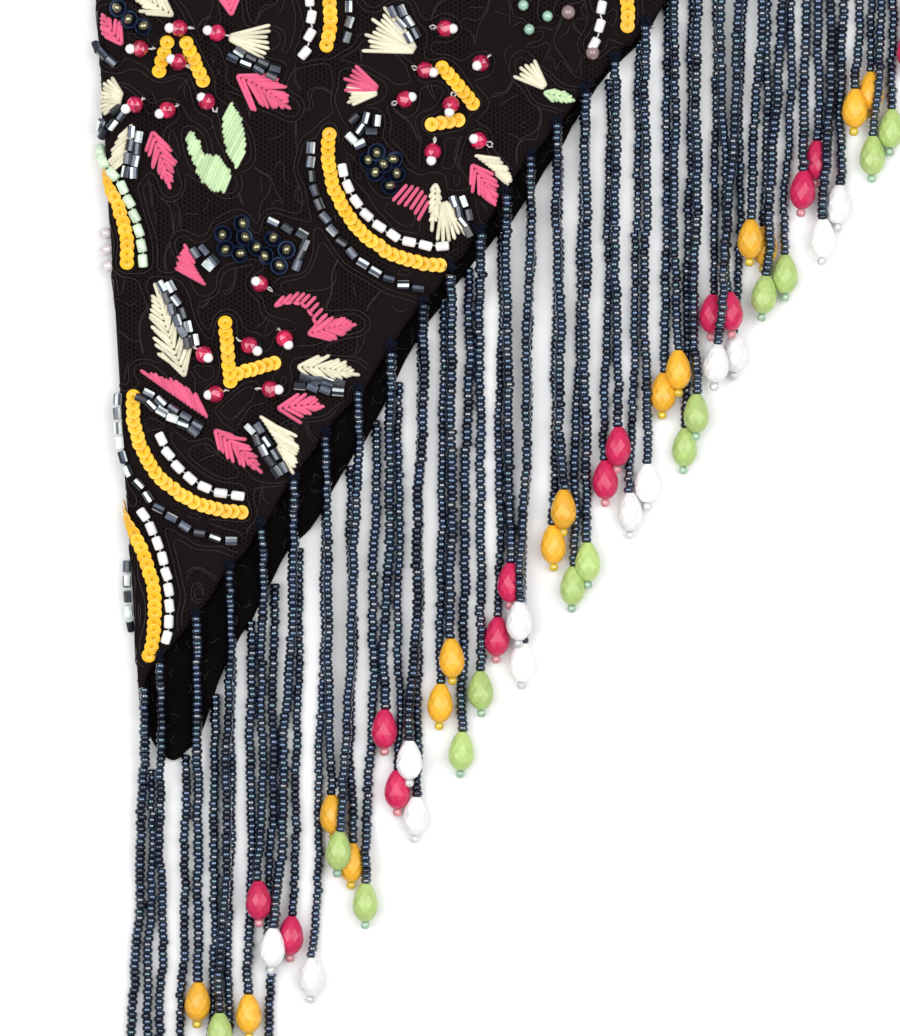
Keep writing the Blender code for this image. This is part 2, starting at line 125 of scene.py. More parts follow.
# The fringe's roots and hang, as the solids have them
FRONT_ROOTS = table("first pitch", (3.4, 11.2), (25.8, 12.4), (125.0, 10.1), (215.9, 8.6), (267.5, 10.2))
BACK_ROOTS = table("first pitch", (1.5, 10.6))
ROOT_END = 7.0
ROOT_OUT = 1.0
ROOT_DROP = 1.6
ROOT_FREE = 4.0
SHORT_STRAND = 83.5
LONG_STRAND = 101.5
FRONT_SHORTER = 4.0
SHORT_DRIFT = -0.9
LONG_DRIFT = -2.7
LENGTH_SPREAD = 2.0
DRIFT_SPREAD = 0.9
DRIFT_POWER = 1.3
WAVE = 0.35
WAVE_TURNS = (1.2, 2.4)
BEAD_RADIUS = 1.05
DROP_ROWS = table("down radius", (0.0, 0.9), (4.9, 2.7), (8.3, 0.9), (10.4, 0.9))
DROP_MIDDLE = 4.3
SEED = 11
FLOOR_CLEAR = 0.1
STRAND_CLEAR = 0.4
HEM_CLEAR_ALONG = 1.4
NEAR_STRANDS = 16.0
PAST_END = 1.5
SLOPE = 0.45
STEP = 1.0
NUDGES = (0.0, -0.6, 0.6, -1.2, 1.2, -1.8, 1.8, -2.4, 2.4, -3.0, 3.0)
NUDGE_COST = 0.3
END_POINTS = 12
STRIP_FAR = 1.9
UPPER_FROM = 1.0
HEM_STEP = 0.5
HEM_SPAN = 1.2
OUT_STEP = 0.2

# Where the sprays of leaves stand on the cloth, and the step at which they come again
SPRAYS = table(
    "spray across along",
    ("A", 21.7, 154.4),
    ("H", 81.1, 146.2),
    ("C", 29.2, 92.8),
)
REPEAT_ACROSS = (59.4, -8.2)
REPEAT_ALONG = (-7.5, 61.6)
REPEAT_SPAN = 7
REPEAT_ROOM = 24.0

# Each spray's leaves: right of and above its middle, from the leaf's foot to its tip
LEAVES = table(
    "spray form colour right up tip_right tip_up width",
    ("A", "leaf", "cream", -3.4, 14.0, -11.6, 20.4, 7.5),
    ("A", "leaf", "pink", 9.6, 14.0, 8.6, 23.0, 7.5),
    ("A", "leaf", "pink", -15.0, 7.4, -19.4, 14.4, 5.0),
    ("A", "fan", "cream", -15.2, -4.6, -20.4, -3.4, 9.0),
    ("A", "leaf", "pink", -8.4, -11.6, -4.4, -24.4, 5.4),
    ("A", "fan", "cream", 9.0, 9.2, 18.2, 8.0, 6.0),
    ("A", "leaf", "pink", 10.4, 0.8, 22.4, -6.6, 8.6),
    ("H", "fan", "cream", -9.1, 10.9, -19.6, 17.0, 10.5),
    ("H", "fan", "pink", -17.5, 2.2, -24.8, 5.2, 5.0),
    ("H", "fan", "cream", -17.6, 1.4, -24.6, 0.4, 3.2),
    ("H", "fan", "cream", 20.2, 2.6, 15.0, 7.6, 4.6),
    ("H", "leaf", "mint", 19.8, 1.4, 27.4, -0.6, 3.0),
    ("H", "rake", "pink", -5.9, -23.0, -10.8, -19.3, 6.0),
    ("H", "leaf", "cream", -4.3, -18.8, -5.2, -29.5, 2.6),
    ("H", "fan", "cream", -2.4, -23.2, 0.2, -32.4, 6.6),
    ("H", "half", "cream", 4.2, -12.6, 13.2, -20.4, 3.0),
    ("H", "leaf", "pink", 3.6, -14.6, 9.2, -24.2, 5.2),
    ("C", "half", "pink", -7.4, 14.4, -12.2, 23.4, 4.4),
    ("C", "leaf", "cream", -12.0, -6.6, -18.8, 14.2, 7.4),
    ("C", "half", "pink", -6.8, -15.6, -21.6, -5.0, -3.0),
    ("C", "leaf", "pink", -5.8, -17.8, 4.8, -27.4, 5.0),
    ("C", "half", "cream", 4.4, -14.6, 12.0, -27.6, 4.6),
    ("C", "leaf", "pink", 8.4, -13.2, 18.8, -12.8, 6.2),
    ("C", "leaf", "cream", 12.8, -3.8, 26.6, -5.6, 5.6),
    ("C", "comb", "pink", 8.0, 9.8, 17.4, 5.6, 3.4),
    ("C", "leaf", "pink", 15.2, 3.4, 26.0, 5.6, 5.8),
)

# Leaves worked as a band of parallel strokes: the band's middle line, and each stroke's reach and slant
BANDS = table(
    "spray colour right up tip_right tip_up reach slant",
    ("A", "cream", -14.3, -11.8, -15.9, -19.6, 7.0, -36.0),
    ("A", "mint", 0.0, -12.8, 3.0, -20.0, 4.0, -50.0),
    ("A", "mint", 2.6, -19.0, 8.6, -23.4, 7.2, -76.0),
    ("A", "mint", 8.6, -7.6, 11.6, -18.0, 7.4, -44.0),
)

# The two legs of each spray's middle, in overlapping sequins
SEQUIN_LEGS = table(
    "spray right up to_right to_up",
    ("A", -5.0, 8.0, -6.7, 1.8),
    ("A", -0.5, 8.0, 3.0, -0.5),
    ("H", -2.8, 7.0, 4.1, -1.0),
    ("H", -5.2, -5.7, 0.9, -4.8),
    ("C", -3.1, 6.0, -2.0, -7.2),
    ("C", -0.3, -5.3, 7.9, -3.1),
)

# The faceted beads round each spray, and the way that the pearl on each points
CRYSTALS = table(
    "spray right up pearl_right pearl_up",
    ("A", -2.2, 11.2, -1.9, 0.1),
    ("A", 6.3, 10.1, -1.8, 0.6),
    ("A", -11.0, 6.6, -1.9, 0.0),
    ("A", -2.4, 3.6, -1.3, 0.6),
    ("A", 4.0, -5.3, -0.9, 0.8),
    ("A", -4.9, -7.2, -1.5, -0.7),
    ("A", -12.2, -6.0, -1.8, -0.8),
    ("H", -2.2, 15.7, 1.5, -0.2),
    ("H", -6.7, 6.3, 1.6, -0.6),
    ("H", 5.8, 7.9, -0.7, -0.5),
    ("H", -11.2, -0.2, 1.3, 0.3),
    ("H", -0.9, -1.4, -0.4, -1.5),
    ("H", 5.3, -9.5, -0.8, 0.3),
    ("H", -5.0, -12.0, -0.4, -1.8),
    ("C", 4.7, 14.8, -0.6, 0.4),
    ("C", -7.9, -1.1, 0.8, -0.7),
    ("C", 2.3, 1.0, 1.6, -1.3),
    ("C", 10.2, 2.5, 0.7, -1.3),
    ("C", -5.3, -10.0, -1.3, -0.1),
    ("C", 7.0, -8.9, 1.7, -0.2),
)

# Rows of cut bugles beside the leaves: from, to, and how many rows lie side by side
BUGLE_ROWS = table(
    "spray right up to_right to_up rows",
    ("A", -20.4, 7.2, -17.4, 3.8, 1),
    ("A", -19.6, -11.6, -15.8, -7.8, 2),
    ("A", -12.0, -12.2, -13.4, -21.2, 2),
    ("A", 10.2, 5.4, 19.0, 1.4, 2),
    ("H", -13.2, 20.0, -9.6, 14.2, 2),
    ("H", 0.6, -22.8, 3.8, -29.6, 2),
    ("C", -9.2, 22.4, -6.4, 19.4, 2),
    ("C", -16.6, 14.6, -10.8, 1.8, 2),
    ("C", -21.6, -10.2, -9.8, -17.6, 2),
    ("C", 3.2, -17.4, 9.2, -27.0, 2),
    ("C", 13.8, -7.2, 22.4, -8.6, 2),
    ("C", 7.6, 28.6, 14.2, 26.0, 1),
    ("C", 14.6, 23.6, 13.0, 19.0, 1),
)

# Bugles on their own, and the way that each lies
BUGLES = table(
    "spray right up turn",
    ("H", -22.8, -4.5, 55.0),
    ("H", -20.0, -4.4, 65.0),
    ("H", -17.6, -5.0, 88.0),
    ("H", -21.2, -6.9, 70.0),
    ("H", -18.8, -7.3, -8.0),
    ("H", -23.3, -8.9, -62.0),
    ("H", -21.4, -10.3, 38.0),
)

# The cup sequins, each held down by a gold bead
CUPS = table(
    "spray right up",
    ("A", -15.8, 15.8),
    ("A", -13.2, 13.2),
    ("A", -10.8, 11.4),
    ("H", -17.7, -12.0),
    ("H", -20.1, -14.3),
    ("H", -16.0, -15.2),
    ("H", -17.7, -17.0),
    ("H", -13.4, -14.0),
    ("H", -13.0, -17.4),
    ("H", -15.0, -20.0),
    ("C", 0.2, 28.4),
    ("C", -3.6, 26.2),
    ("C", 0.9, 25.2),
    ("C", -3.0, 23.0),
    ("C", 3.4, 22.6),
    ("C", -0.2, 21.4),
    ("C", 7.4, 24.6),
    ("C", 6.4, 21.2),
    ("C", 10.6, 22.4),
    ("C", 8.8, 18.8),
)

# The crescents: rows of one kind of bead round one middle, each an arc whose radius may grow on the way


def crescent(across, along, *rows):
    names = "across along bead first_radius last_radius first last"
    return table(names, *((across, along, *row) for row in rows))


LOWER = (
    ("sequin", 23.4, 23.8, 171.0, 269.0),
    ("white", 18.6, 20.2, 200.0, 267.0),
    ("grey", 26.6, 30.4, 173.0, 264.0),
)
UPPER = (
    ("white", 22.5, 16.4, -37.0, 38.0),
    ("sequin", 26.0, 21.0, -28.0, 42.0),
    ("grey", 29.8, 25.8, -21.0, 40.0),
)
ARCS = [
    *crescent(
        77.0, 135.1,
        ("sequin", 25.0, 26.2, 169.0, 271.0),
        ("white", 22.3, 21.9, 189.0, 268.0),
        ("grey", 29.0, 32.0, 176.0, 264.0),
    ),
    *crescent(28.0, 80.2, *LOWER),
    *crescent(-30.0, 38.0, ("sequin", 37.0, 36.2, -20.0, 36.0)),
    *crescent(-29.0, 38.0, ("white", 39.0, 39.4, -13.0, 29.0)),
    *crescent(-30.0, 38.0, ("grey", 29.6, 30.4, -24.0, 34.0)),
    *crescent(
        -30.0, 112.0,
        ("sequin", 35.4, 38.6, 3.0, 41.0),
        ("mint", 38.9, 40.6, 3.0, 43.0),
        ("clear", 30.4, 30.8, 3.0, 17.0),
    ),
    *crescent(30.0, 172.0, *UPPER),
    *crescent(96.0, 168.0, ("white", 20.6, 17.4, -34.0, 38.0), ("sequin", 26.2, 22.6, -22.0, 42.0)),
]
LOWER_ARCS = crescent(-1.2, -12.6, *LOWER)
UPPER_ARCS = crescent(8.3, 17.6, *UPPER)

# Round beads on their own
LOOSE = table(
    "bead across along",
    ("clear", 107.7, 164.0),
    ("clear", 112.6, 154.6),
    ("mint", 97.7, 166.2),
    ("mint", 98.7, 160.7),
    ("mint", 103.0, 163.4),
)

# How the beads sit in their rows, and the room that each thing wants round it
SEQUIN_PITCH = 1.85
WHITE_PITCH = 3.7
GREY_PITCH = 3.4
CLEAR_PITCH = 3.5
BUGLE_PITCH = 3.0
BUGLE_ROW = 1.85
BUGLE_SHIFT = 0.9
HEM_ROOM = 2.2
FOLD_ROOM = -1.3
CUP_ROOM = 1.6
ARC_ROOM = 4.0
FOOT_ROOM = 1.0
TIP_ROOM = -1.5


def colour_prop(name, default, description):
    return bpy.props.FloatVectorProperty(
        name=name, default=default, description=description, subtype="COLOR", min=0.0, max=1.0
    )


def length_prop(name, default, description):
    return bpy.props.FloatProperty(
        name=name, default=default * MM, description=description, unit="LENGTH", min=0.0, precision=5
    )


class BandanaSizes(bpy.types.PropertyGroup):
    """The sizes of what is sewn on and strung."""

    bead_width: length_prop("Seed bead width", 2.4, "Width of a seed bead in the fringe")
    bead_pitch: length_prop("Seed bead pitch", 1.35, "From one seed bead of a strand to the next")
    drop_width: length_prop("Drop width", 5.9, "Widest part of a strand's glass drop")
    drop_length: length_prop("Drop length", 8.6, "Length of a strand's glass drop")
    sequin_width: length_prop("Sequin width", 3.3, "Width of a flat sequin")
    tube_width: length_prop("Tube width", 2.2, "Width of a white or mint tube bead")
    tube_length: length_prop("Tube length", 3.0, "Length of a white or mint tube bead")
    bugle_width: length_prop("Bugle width", 1.9, "Width of a cut silver bugle")
    bugle_length: length_prop("Bugle length", 2.6, "Length of a cut silver bugle")
    cup_width: length_prop("Cup width", 4.2, "Width of a cup sequin")
    crystal_width: length_prop("Crystal width", 4.0, "Width of a faceted crystal")
    pearl_width: length_prop("Pearl width", 2.4, "Width of the pearl on a crystal")
    thread_width: length_prop("Thread width", 0.90, "Width of the embroidery floss")
    cord_width: length_prop("Cord width", 0.33, "Width of the cord that outlines the lace")
    net_hole: length_prop("Net pitch", 1.1, "From one hole of the net to the next")


class BandanaColours(bpy.types.PropertyGroup):
    """The colours of the cloth, the threads and the glass."""

    lace: colour_prop("Lace", (0.0074, 0.0046, 0.0050), "The lace's net and solid places")
    cord: colour_prop("Cord", (0.034, 0.028, 0.029), "The cord that outlines the lace")
    lining: colour_prop("Lining", (0.0022, 0.0016, 0.0016), "The plain cloth inside")
    navy: colour_prop("Navy", (0.0015, 0.0027, 0.0085), "Seed beads and their thread")
    cup: colour_prop("Cup", (0.0060, 0.0135, 0.058), "Cup sequins")
    gold: colour_prop("Gold", (0.28, 0.26, 0.15), "The beads that hold the cups")
    yellow: colour_prop("Yellow", (0.935, 0.505, 0.012), "Flat sequins and yellow drops")
    fuchsia: colour_prop("Fuchsia", (0.60, 0.014, 0.090), "Fuchsia drops and crystals")
    crystal: colour_prop("Crystal", (0.73, 0.025, 0.11), "Faceted crystals on the lace")
    green: colour_prop("Green", (0.44, 0.60, 0.19), "Green drops")
    white: colour_prop("White", (0.92, 0.92, 0.925), "White drops, tubes and pearls")
    silver: colour_prop("Silver", (0.155, 0.19, 0.27), "Cut bugles")
    clear: colour_prop("Clear", (0.93, 0.84, 0.85), "Clear round beads on the fold")
    pink: colour_prop("Pink floss", (1.0, 0.125, 0.27), "Pink embroidery")
    cream: colour_prop("Cream floss", (1.0, 0.87, 0.66), "Cream embroidery")
    mint: colour_prop("Mint floss", (0.66, 0.87, 0.51), "Mint embroidery")
    mint_glass: colour_prop("Mint glass", (0.62, 0.80, 0.58), "Mint tubes")
    floor: colour_prop("Floor", (0.93, 0.93, 0.935), "The plain surface that it lies on")


class BandanaStudio(bpy.types.PropertyGroup):
    """The camera and lights."""

    camera_height: bpy.props.FloatProperty(
        name="Camera height", default=1.25, unit="LENGTH", description="Height of the camera"
    )
    view_width: bpy.props.FloatProperty(
        name="View width", default=0.2035, unit="LENGTH", description="Width of what the camera sees"
    )
    view_middle: bpy.props.FloatVectorProperty(
        name="View middle", default=(-0.0546, -0.0862), size=2, unit="LENGTH",
        description="The place in the middle of the view",
    )
    power: bpy.props.FloatProperty(
        name="Lights", default=13.5, unit="POWER", description="Power of each of the two soft lights"
    )
    air: bpy.props.FloatProperty(
        name="Air", default=0.26, min=0.0, description="Strength of the even light from all round"
    )


def scaled(colour, factor):
    return tuple(min(1.0, c * factor) for c in colour)


def size_of(name):
    """One of the panel's sizes, in millimetres."""
    return getattr(bpy.context.scene.bandana_sizes, name) / MM


def colour_of(name, factor=1.0):
    """One of the panel's colours, made darker or brighter."""
    return scaled(getattr(bpy.context.scene.bandana_colours, name), factor)


def swung(first, second, turn):
    """A direction turned from the first towards the second."""
    return math.cos(turn) * first + math.sin(turn) * second


def within(chance, reach):
    """A random number up to this far from nought, either way."""
    return chance.uniform(-reach, reach)


def unit(vector):
    return vector / max(1e-9, float(np.linalg.norm(vector)))


def step_lengths(path):
    return np.linalg.norm(np.diff(path, axis=0), axis=1)


def distances(path):
    """How far down a path each of its points is."""
    return np.concatenate([[0.0], np.cumsum(step_lengths(path))])


# The cloth's form


def read_column(rows, at, name):
    """A table's named column, read between its rows at a value of its first column."""
    first = next(iter(rows[0]))
    return float(np.interp(at, [row[first] for row in rows], [row[name] for row in rows]))


def side_angle(sign):
    """The angle between the fold and the front side, or the back one."""
    return FRONT_ANGLE if sign > 0 else BACK_ANGLE


def hem(across):
    """How far along the fold the hem lies at this place across."""
    out = abs(across - CORNER_ACROSS)
    front = across > CORNER_ACROSS
    lift = read_column(HEM_ROWS, out, "front_lift" if front else "back_lift")
    return CORNER_ALONG + out / math.tan(side_angle(front)) + lift


def side_end(sign):
    """The far corner of the front side, or the back one, on the flat cut."""
    angle = side_angle(sign)
    return CORNER_ACROSS + sign * SIDE * math.sin(angle), CORNER_ALONG + SIDE * math.cos(angle)


def top(across):
    """How far along the fold the top edge lies at this place across."""
    front_end, back_end = side_end(1), side_end(-1)
    share = (across - back_end[0]) / (front_end[0] - back_end[0])
    return back_end[1] + share * (front_end[1] - back_end[1])


def folded(across, depth):
    """Where a place across comes to lie: out from the fold's outer line, and height."""
    turn = np.clip(np.asarray(across) / FOLD_RADIUS, -math.pi / 2, math.pi / 2)
    radius = FOLD_RADIUS - depth
    out = FOLD_RADIUS - radius * np.cos(turn) + np.maximum(0.0, np.abs(across) - QUARTER)
    return out, FOLD_RADIUS + radius * np.sin(turn)


def turned(out, along, lean=LEAN):
    """Table places from places beside and along the fold."""
    return out * math.cos(lean) - along * math.sin(lean), out * math.sin(lean) + along * math.cos(lean)


def unturned(x, y):
    """Out from the fold and along it, from a table place."""
    return turned(x, y, -LEAN)


def across_at(out):
    """How far across the front half a place is that lies so far out from the fold's outer line."""
    bend = FOLD_RADIUS * math.acos(1.0 - max(0.0, min(out, FOLD_RADIUS)) / FOLD_RADIUS)
    return bend + max(0.0, out - FOLD_RADIUS)


def on_cloth(across, along, depth):
    """A point of the folded cloth, so far in from its outer face."""
    out, height = folded(across, depth)
    x, y = turned(float(out), along)
    return Vector((x, y, float(height)))


def frame_origin():
    """Where the frame's origin lies in the table's own millimetres."""
    places = [CORNER_ACROSS + sign * row["out"] for row in HEM_ROWS[:-1] for sign in (-1, 1)]
    edge = [on_cloth(a, end(a), 0.0) for a in [0.0, *places] for end in (hem, top)]
    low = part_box("lace_face")[0] / MM
    return np.array((min(p.x for p in edge) - low.x, min(p.y for p in edge) - low.y, 0.0))


ORIGIN = frame_origin()


def drape(places):
    """Points in the frame's millimetres from places on the cloth: across, along, height off its face."""
    across, along, off = np.asarray(places, float).reshape(-1, 3).T
    out, height = folded(across, -off)
    x, y = turned(out, along)
    return np.stack((x, y, height), axis=1) - ORIGIN


def cloth_axes(across):
    """The directions across and along the cloth and off its face, at a place across."""
    turn = max(-math.pi / 2, min(math.pi / 2, across / FOLD_RADIUS))
    flat = np.array((math.cos(LEAN), math.sin(LEAN), 0.0))
    up = np.array((0.0, 0.0, 1.0))
    along = np.array((-math.sin(LEAN), math.cos(LEAN), 0.0))
    return np.stack((swung(up, flat, turn), along, math.sin(turn) * up - math.cos(turn) * flat))


def face_up(across):
    """The direction off the cloth's face, in the middle of some places across."""
    return cloth_axes(float(np.mean(across)))[2]


def pinned(across, along, off):
    """One point in the frame's millimetres, so far off a place on the cloth."""
    return drape([(across, along, off)])[0]


def on_piece(across, along, room=HEM_ROOM):
    """Whether a place is on the part of the cloth that shows, so far inside its edges."""
    return across > FOLD_ROOM and hem(across) + HEM_CLEAR_ALONG * room < along < top(across) - room


# The strands


def hem_line(sign):
    """Fine points down one hem from the lowest point of the cloth: their distances and places."""
    reach = abs(side_end(sign)[0] - CORNER_ACROSS) - BLUNT
    places = CORNER_ACROSS + sign * np.arange(0.0, reach, HEM_STEP)
    points = np.array([(a, hem(a)) for a in places])
    return distances(points), points


def hem_at(line, distance):
    downs, points = line
    return tuple(float(np.interp(distance, downs, points[:, k])) for k in (0, 1))


def hem_frame(line, distance, sign):
    """A place on the hem in the layer's middle, and its outward direction."""
    middle = (FACE_WALL + GAP + FOLD_RADIUS) / 3
    across, along = hem_at(line, distance)
    before, after = hem_at(line, distance - HEM_SPAN), hem_at(line, distance + HEM_SPAN)
    run = (Vector(after) - Vector(before)).normalized()
    outward = Vector((run.y, -run.x)) * sign
    here = on_cloth(across, along, middle)
    beyond = on_cloth(across + outward.x * OUT_STEP, along + outward.y * OUT_STEP, middle)
    return here, (beyond - here).normalized()


def root_distances(rows, end):
    """The distances along a hem where strands are rooted."""
    found = []
    for k, row in enumerate(rows):
        last = rows[k + 1]["first"] if k + 1 < len(rows) else end
        found += list(np.arange(row["first"], last - 0.1, row["pitch"]))
    return found


def covered(x, y, margin):
    """Whether the half that lies beneath, with this margin round it, is under a table place."""
    out, along = unturned(x, y)
    return out >= -margin and along > hem(-across_at(out)) - HEM_CLEAR_ALONG * margin


def strand_plans():
    """Every strand's side, root and form, those of the half beneath first."""
    chance = random.Random(SEED)
    plans = []
    for sign, rows in ((-1, BACK_ROOTS), (1, FRONT_ROOTS)):
        line = hem_line(sign)
        for k, distance in enumerate(root_distances(rows, line[0][-1] - ROOT_END)):
            length, drift = (SHORT_STRAND, SHORT_DRIFT) if k % 2 else (LONG_STRAND, LONG_DRIFT)
            length += within(chance, LENGTH_SPREAD) - (FRONT_SHORTER if sign > 0 else 0.0)
            drift += within(chance, DRIFT_SPREAD)
            here, outward = hem_frame(line, distance, sign)
            plans.append(
                {
                    "sign": sign,
                    "number": k,
                    "upper": sign > 0 and hem_at(line, distance)[0] > UPPER_FROM,
                    "start": here + outward * (STRIP_FAR + ROOT_OUT),
                    "length": length,
                    "drift": drift,
                    "phase": chance.uniform(0.0, 2 * math.pi),
                    "turns": chance.uniform(*WAVE_TURNS),
                }
            )
    return plans


def strand_radius(down, length):
    """A strand's radius at a distance below its root."""
    below = down - (length - DROP_MIDDLE)
    return BEAD_RADIUS if below < 0.0 else read_column(DROP_ROWS, below, "radius")


def drop_marks(plan):
    """How far down a strand each ring of its drop is."""
    return [plan["length"] - DROP_MIDDLE + row["down"] for row in DROP_ROWS]


def strand_line(plan, nudge, laid):
    """The strand's places from its root down, resting on the table, the cloth or what lies there."""
    start = plan["start"]
    marks = drop_marks(plan)
    whole = marks[-1]
    downs = np.unique(np.round([*np.arange(0.0, whole, STEP), *marks], 4))
    ys = start.y - ROOT_DROP - downs
    share = downs / whole
    sway = WAVE * np.sin(plan["phase"] + 2 * math.pi * plan["turns"] * share) * share
    xs = start.x + (plan["drift"] + nudge) * share**DRIFT_POWER + sway
    radii = np.array([strand_radius(d, plan["length"]) for d in downs])
    need = radii + FLOOR_CLEAR
    rise = FOLD_RADIUS + GAP
    for k, (x, y) in enumerate(zip(xs, ys)):
        free = downs[k] < ROOT_FREE and not plan["upper"]
        if not free and covered(x, y, STRIP_FAR + radii[k] + STRAND_CLEAR):
            need[k] = max(need[k], rise + radii[k])
    for other in laid:
        if abs(other["x"][0] - xs[0]) > NEAR_STRANDS:
            continue
        there = (ys <= other["y"][0] + PAST_END) & (ys >= other["y"][-1] - PAST_END)
        ox, oz, orad = (np.interp(-ys, -other["y"], other[key]) for key in ("x", "z", "r"))
        reach = radii + orad + STRAND_CLEAR
        near = there & (np.abs(xs - ox) < reach)
        over = oz + np.sqrt(np.maximum(0.0, reach**2 - (xs - ox) ** 2))
        need = np.where(near, np.maximum(need, over), need)
    need[0] = max(need[0], start.z)
    apart = np.abs(downs[:, None] - downs[None, :])
    zs = (need[None, :] - SLOPE * apart).max(axis=1)
    return {"x": xs, "y": ys, "z": zs, "r": radii, "down": downs}


def lay_strands():
    """Lay the strands down one after another, each turned a little to where its drop rests lowest."""
    laid = []
    for plan in strand_plans():
        tries = [strand_line(plan, nudge, laid) for nudge in NUDGES]
        costs = [t["z"][-END_POINTS:].max() + NUDGE_COST * abs(n) for t, n in zip(tries, NUDGES)]
        best = tries[int(np.argmin(costs))]
        laid.append({**plan, **best})
    return laid


STRANDS = lay_strands()


# Making meshes


def in_scene(name, data):
    """A new object in the scene, with this mesh, light or camera."""
    obj = bpy.data.objects.new(name, data)
    bpy.context.scene.collection.objects.link(obj)
    return obj


class Heap:
    """Many small shapes gathered into one mesh, in the frame's millimetres."""

    def __init__(self):
        self.points, self.faces, self.tints, self.marks = [], [], [], []
        self.count = 0

    def add(self, shape, tint=1.0, mark=0):
        """Add points and faces, with a colour or a shade; the mark picks the material, or each face's own."""
        points, faces = shape
        colour = (tint,) * 3 if np.isscalar(tint) else tint
        self.points.append(np.asarray(points, float))
        self.faces.extend([i + self.count for i in face] for face in faces)
        self.tints.append(np.tile((*colour, 1.0), (len(points), 1)))
        self.marks.extend([mark] * len(faces) if isinstance(mark, int) else mark)
        self.count += len(points)

    def make(self, name, *materials, smooth=True):
        if not self.count:
            raise RuntimeError(f"{name} has nothing in it")
        mesh = bpy.data.meshes.new(name)
        mesh.from_pydata((np.concatenate(self.points) * MM).tolist(), [], self.faces)
        tint = mesh.color_attributes.new("tint", "FLOAT_COLOR", "POINT")
        tint.data.foreach_set("color", np.concatenate(self.tints).ravel())
        for material in materials:
            mesh.materials.append(material)
        mesh.polygons.foreach_set("material_index", self.marks)
        mesh.polygons.foreach_set("use_smooth", [smooth] * len(mesh.polygons))
        mesh.update()
        return in_scene(name, mesh)


def dress(obj, slot, *nodes):
    """Let a piece ride on the bandana and hide the solids that it stands for; its slot is not used."""
    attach(obj, "root")
    if nodes:
        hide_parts(*nodes)
    return obj


def ring_faces(rings, sides, split=False):
    """The faces that join rings of points into a closed shape, in quads or split into triangles."""
    faces = [list(range(sides - 1, -1, -1))]
    for k in range(rings - 1):
        for side in range(sides):
            a, b = k * sides + side, k * sides + (side + 1) % sides
            c, d = b + sides, a + sides
            faces += [[a, b, d], [b, c, d]] if split else [[a, b, c, d]]
    return [*faces, list(range((rings - 1) * sides, rings * sides))]


def turned_shape(profile, sides, wide=1.0, tall=1.0, shift=0.0):
    """A profile of shares (radius, height) turned round, each ring a part of a step further on."""
    points = []
    for k, (out, height) in enumerate(profile):
        radius = out * wide
        for side in range(sides):
            angle = 2 * math.pi * (side + shift * k) / sides
            points.append((radius * math.cos(angle), radius * math.sin(angle), height * tall))
    return np.array(points), ring_faces(len(profile), sides, bool(shift))


def placed(shape, centre, axes, scale=1.0):
    """A shape moved to a centre, its own axes laid on the given ones."""
    points, faces = shape
    return points * scale @ np.asarray(axes) + np.asarray(centre), faces


def along_axes(direction, up):
    """Axes whose third lies along a direction."""
    third = unit(np.asarray(direction, float))
    first = unit(np.cross(np.asarray(up, float), third))
    return np.stack((first, np.cross(third, first), third))


def rolled_axes(axes, roll):
    """The same axes, turned about their third."""
    first = swung(axes[0], axes[1], roll)
    return np.stack((first, np.cross(axes[2], first), axes[2]))


def units(vectors):
    """Each row of an array, made one long."""
    return vectors / np.maximum(1e-9, np.linalg.norm(vectors, axis=1))[:, None]


def tube(path, radii, up, sides=5):
    """A closed tube through a path, thin where its radii are."""
    path = np.asarray(path, float)
    steps = units(np.gradient(path, axis=0))
    side_ways = units(np.cross(np.asarray(up, float), steps))
    upward = np.cross(steps, side_ways)
    angles = (2 * math.pi * np.arange(sides) / sides)[None, :, None]
    ring = np.cos(angles) * side_ways[:, None, :] + np.sin(angles) * upward[:, None, :]
    points = path[:, None, :] + ring * np.broadcast_to(radii, len(path))[:, None, None]
    return points.reshape(-1, 3), ring_faces(len(path), sides)


# Finishes


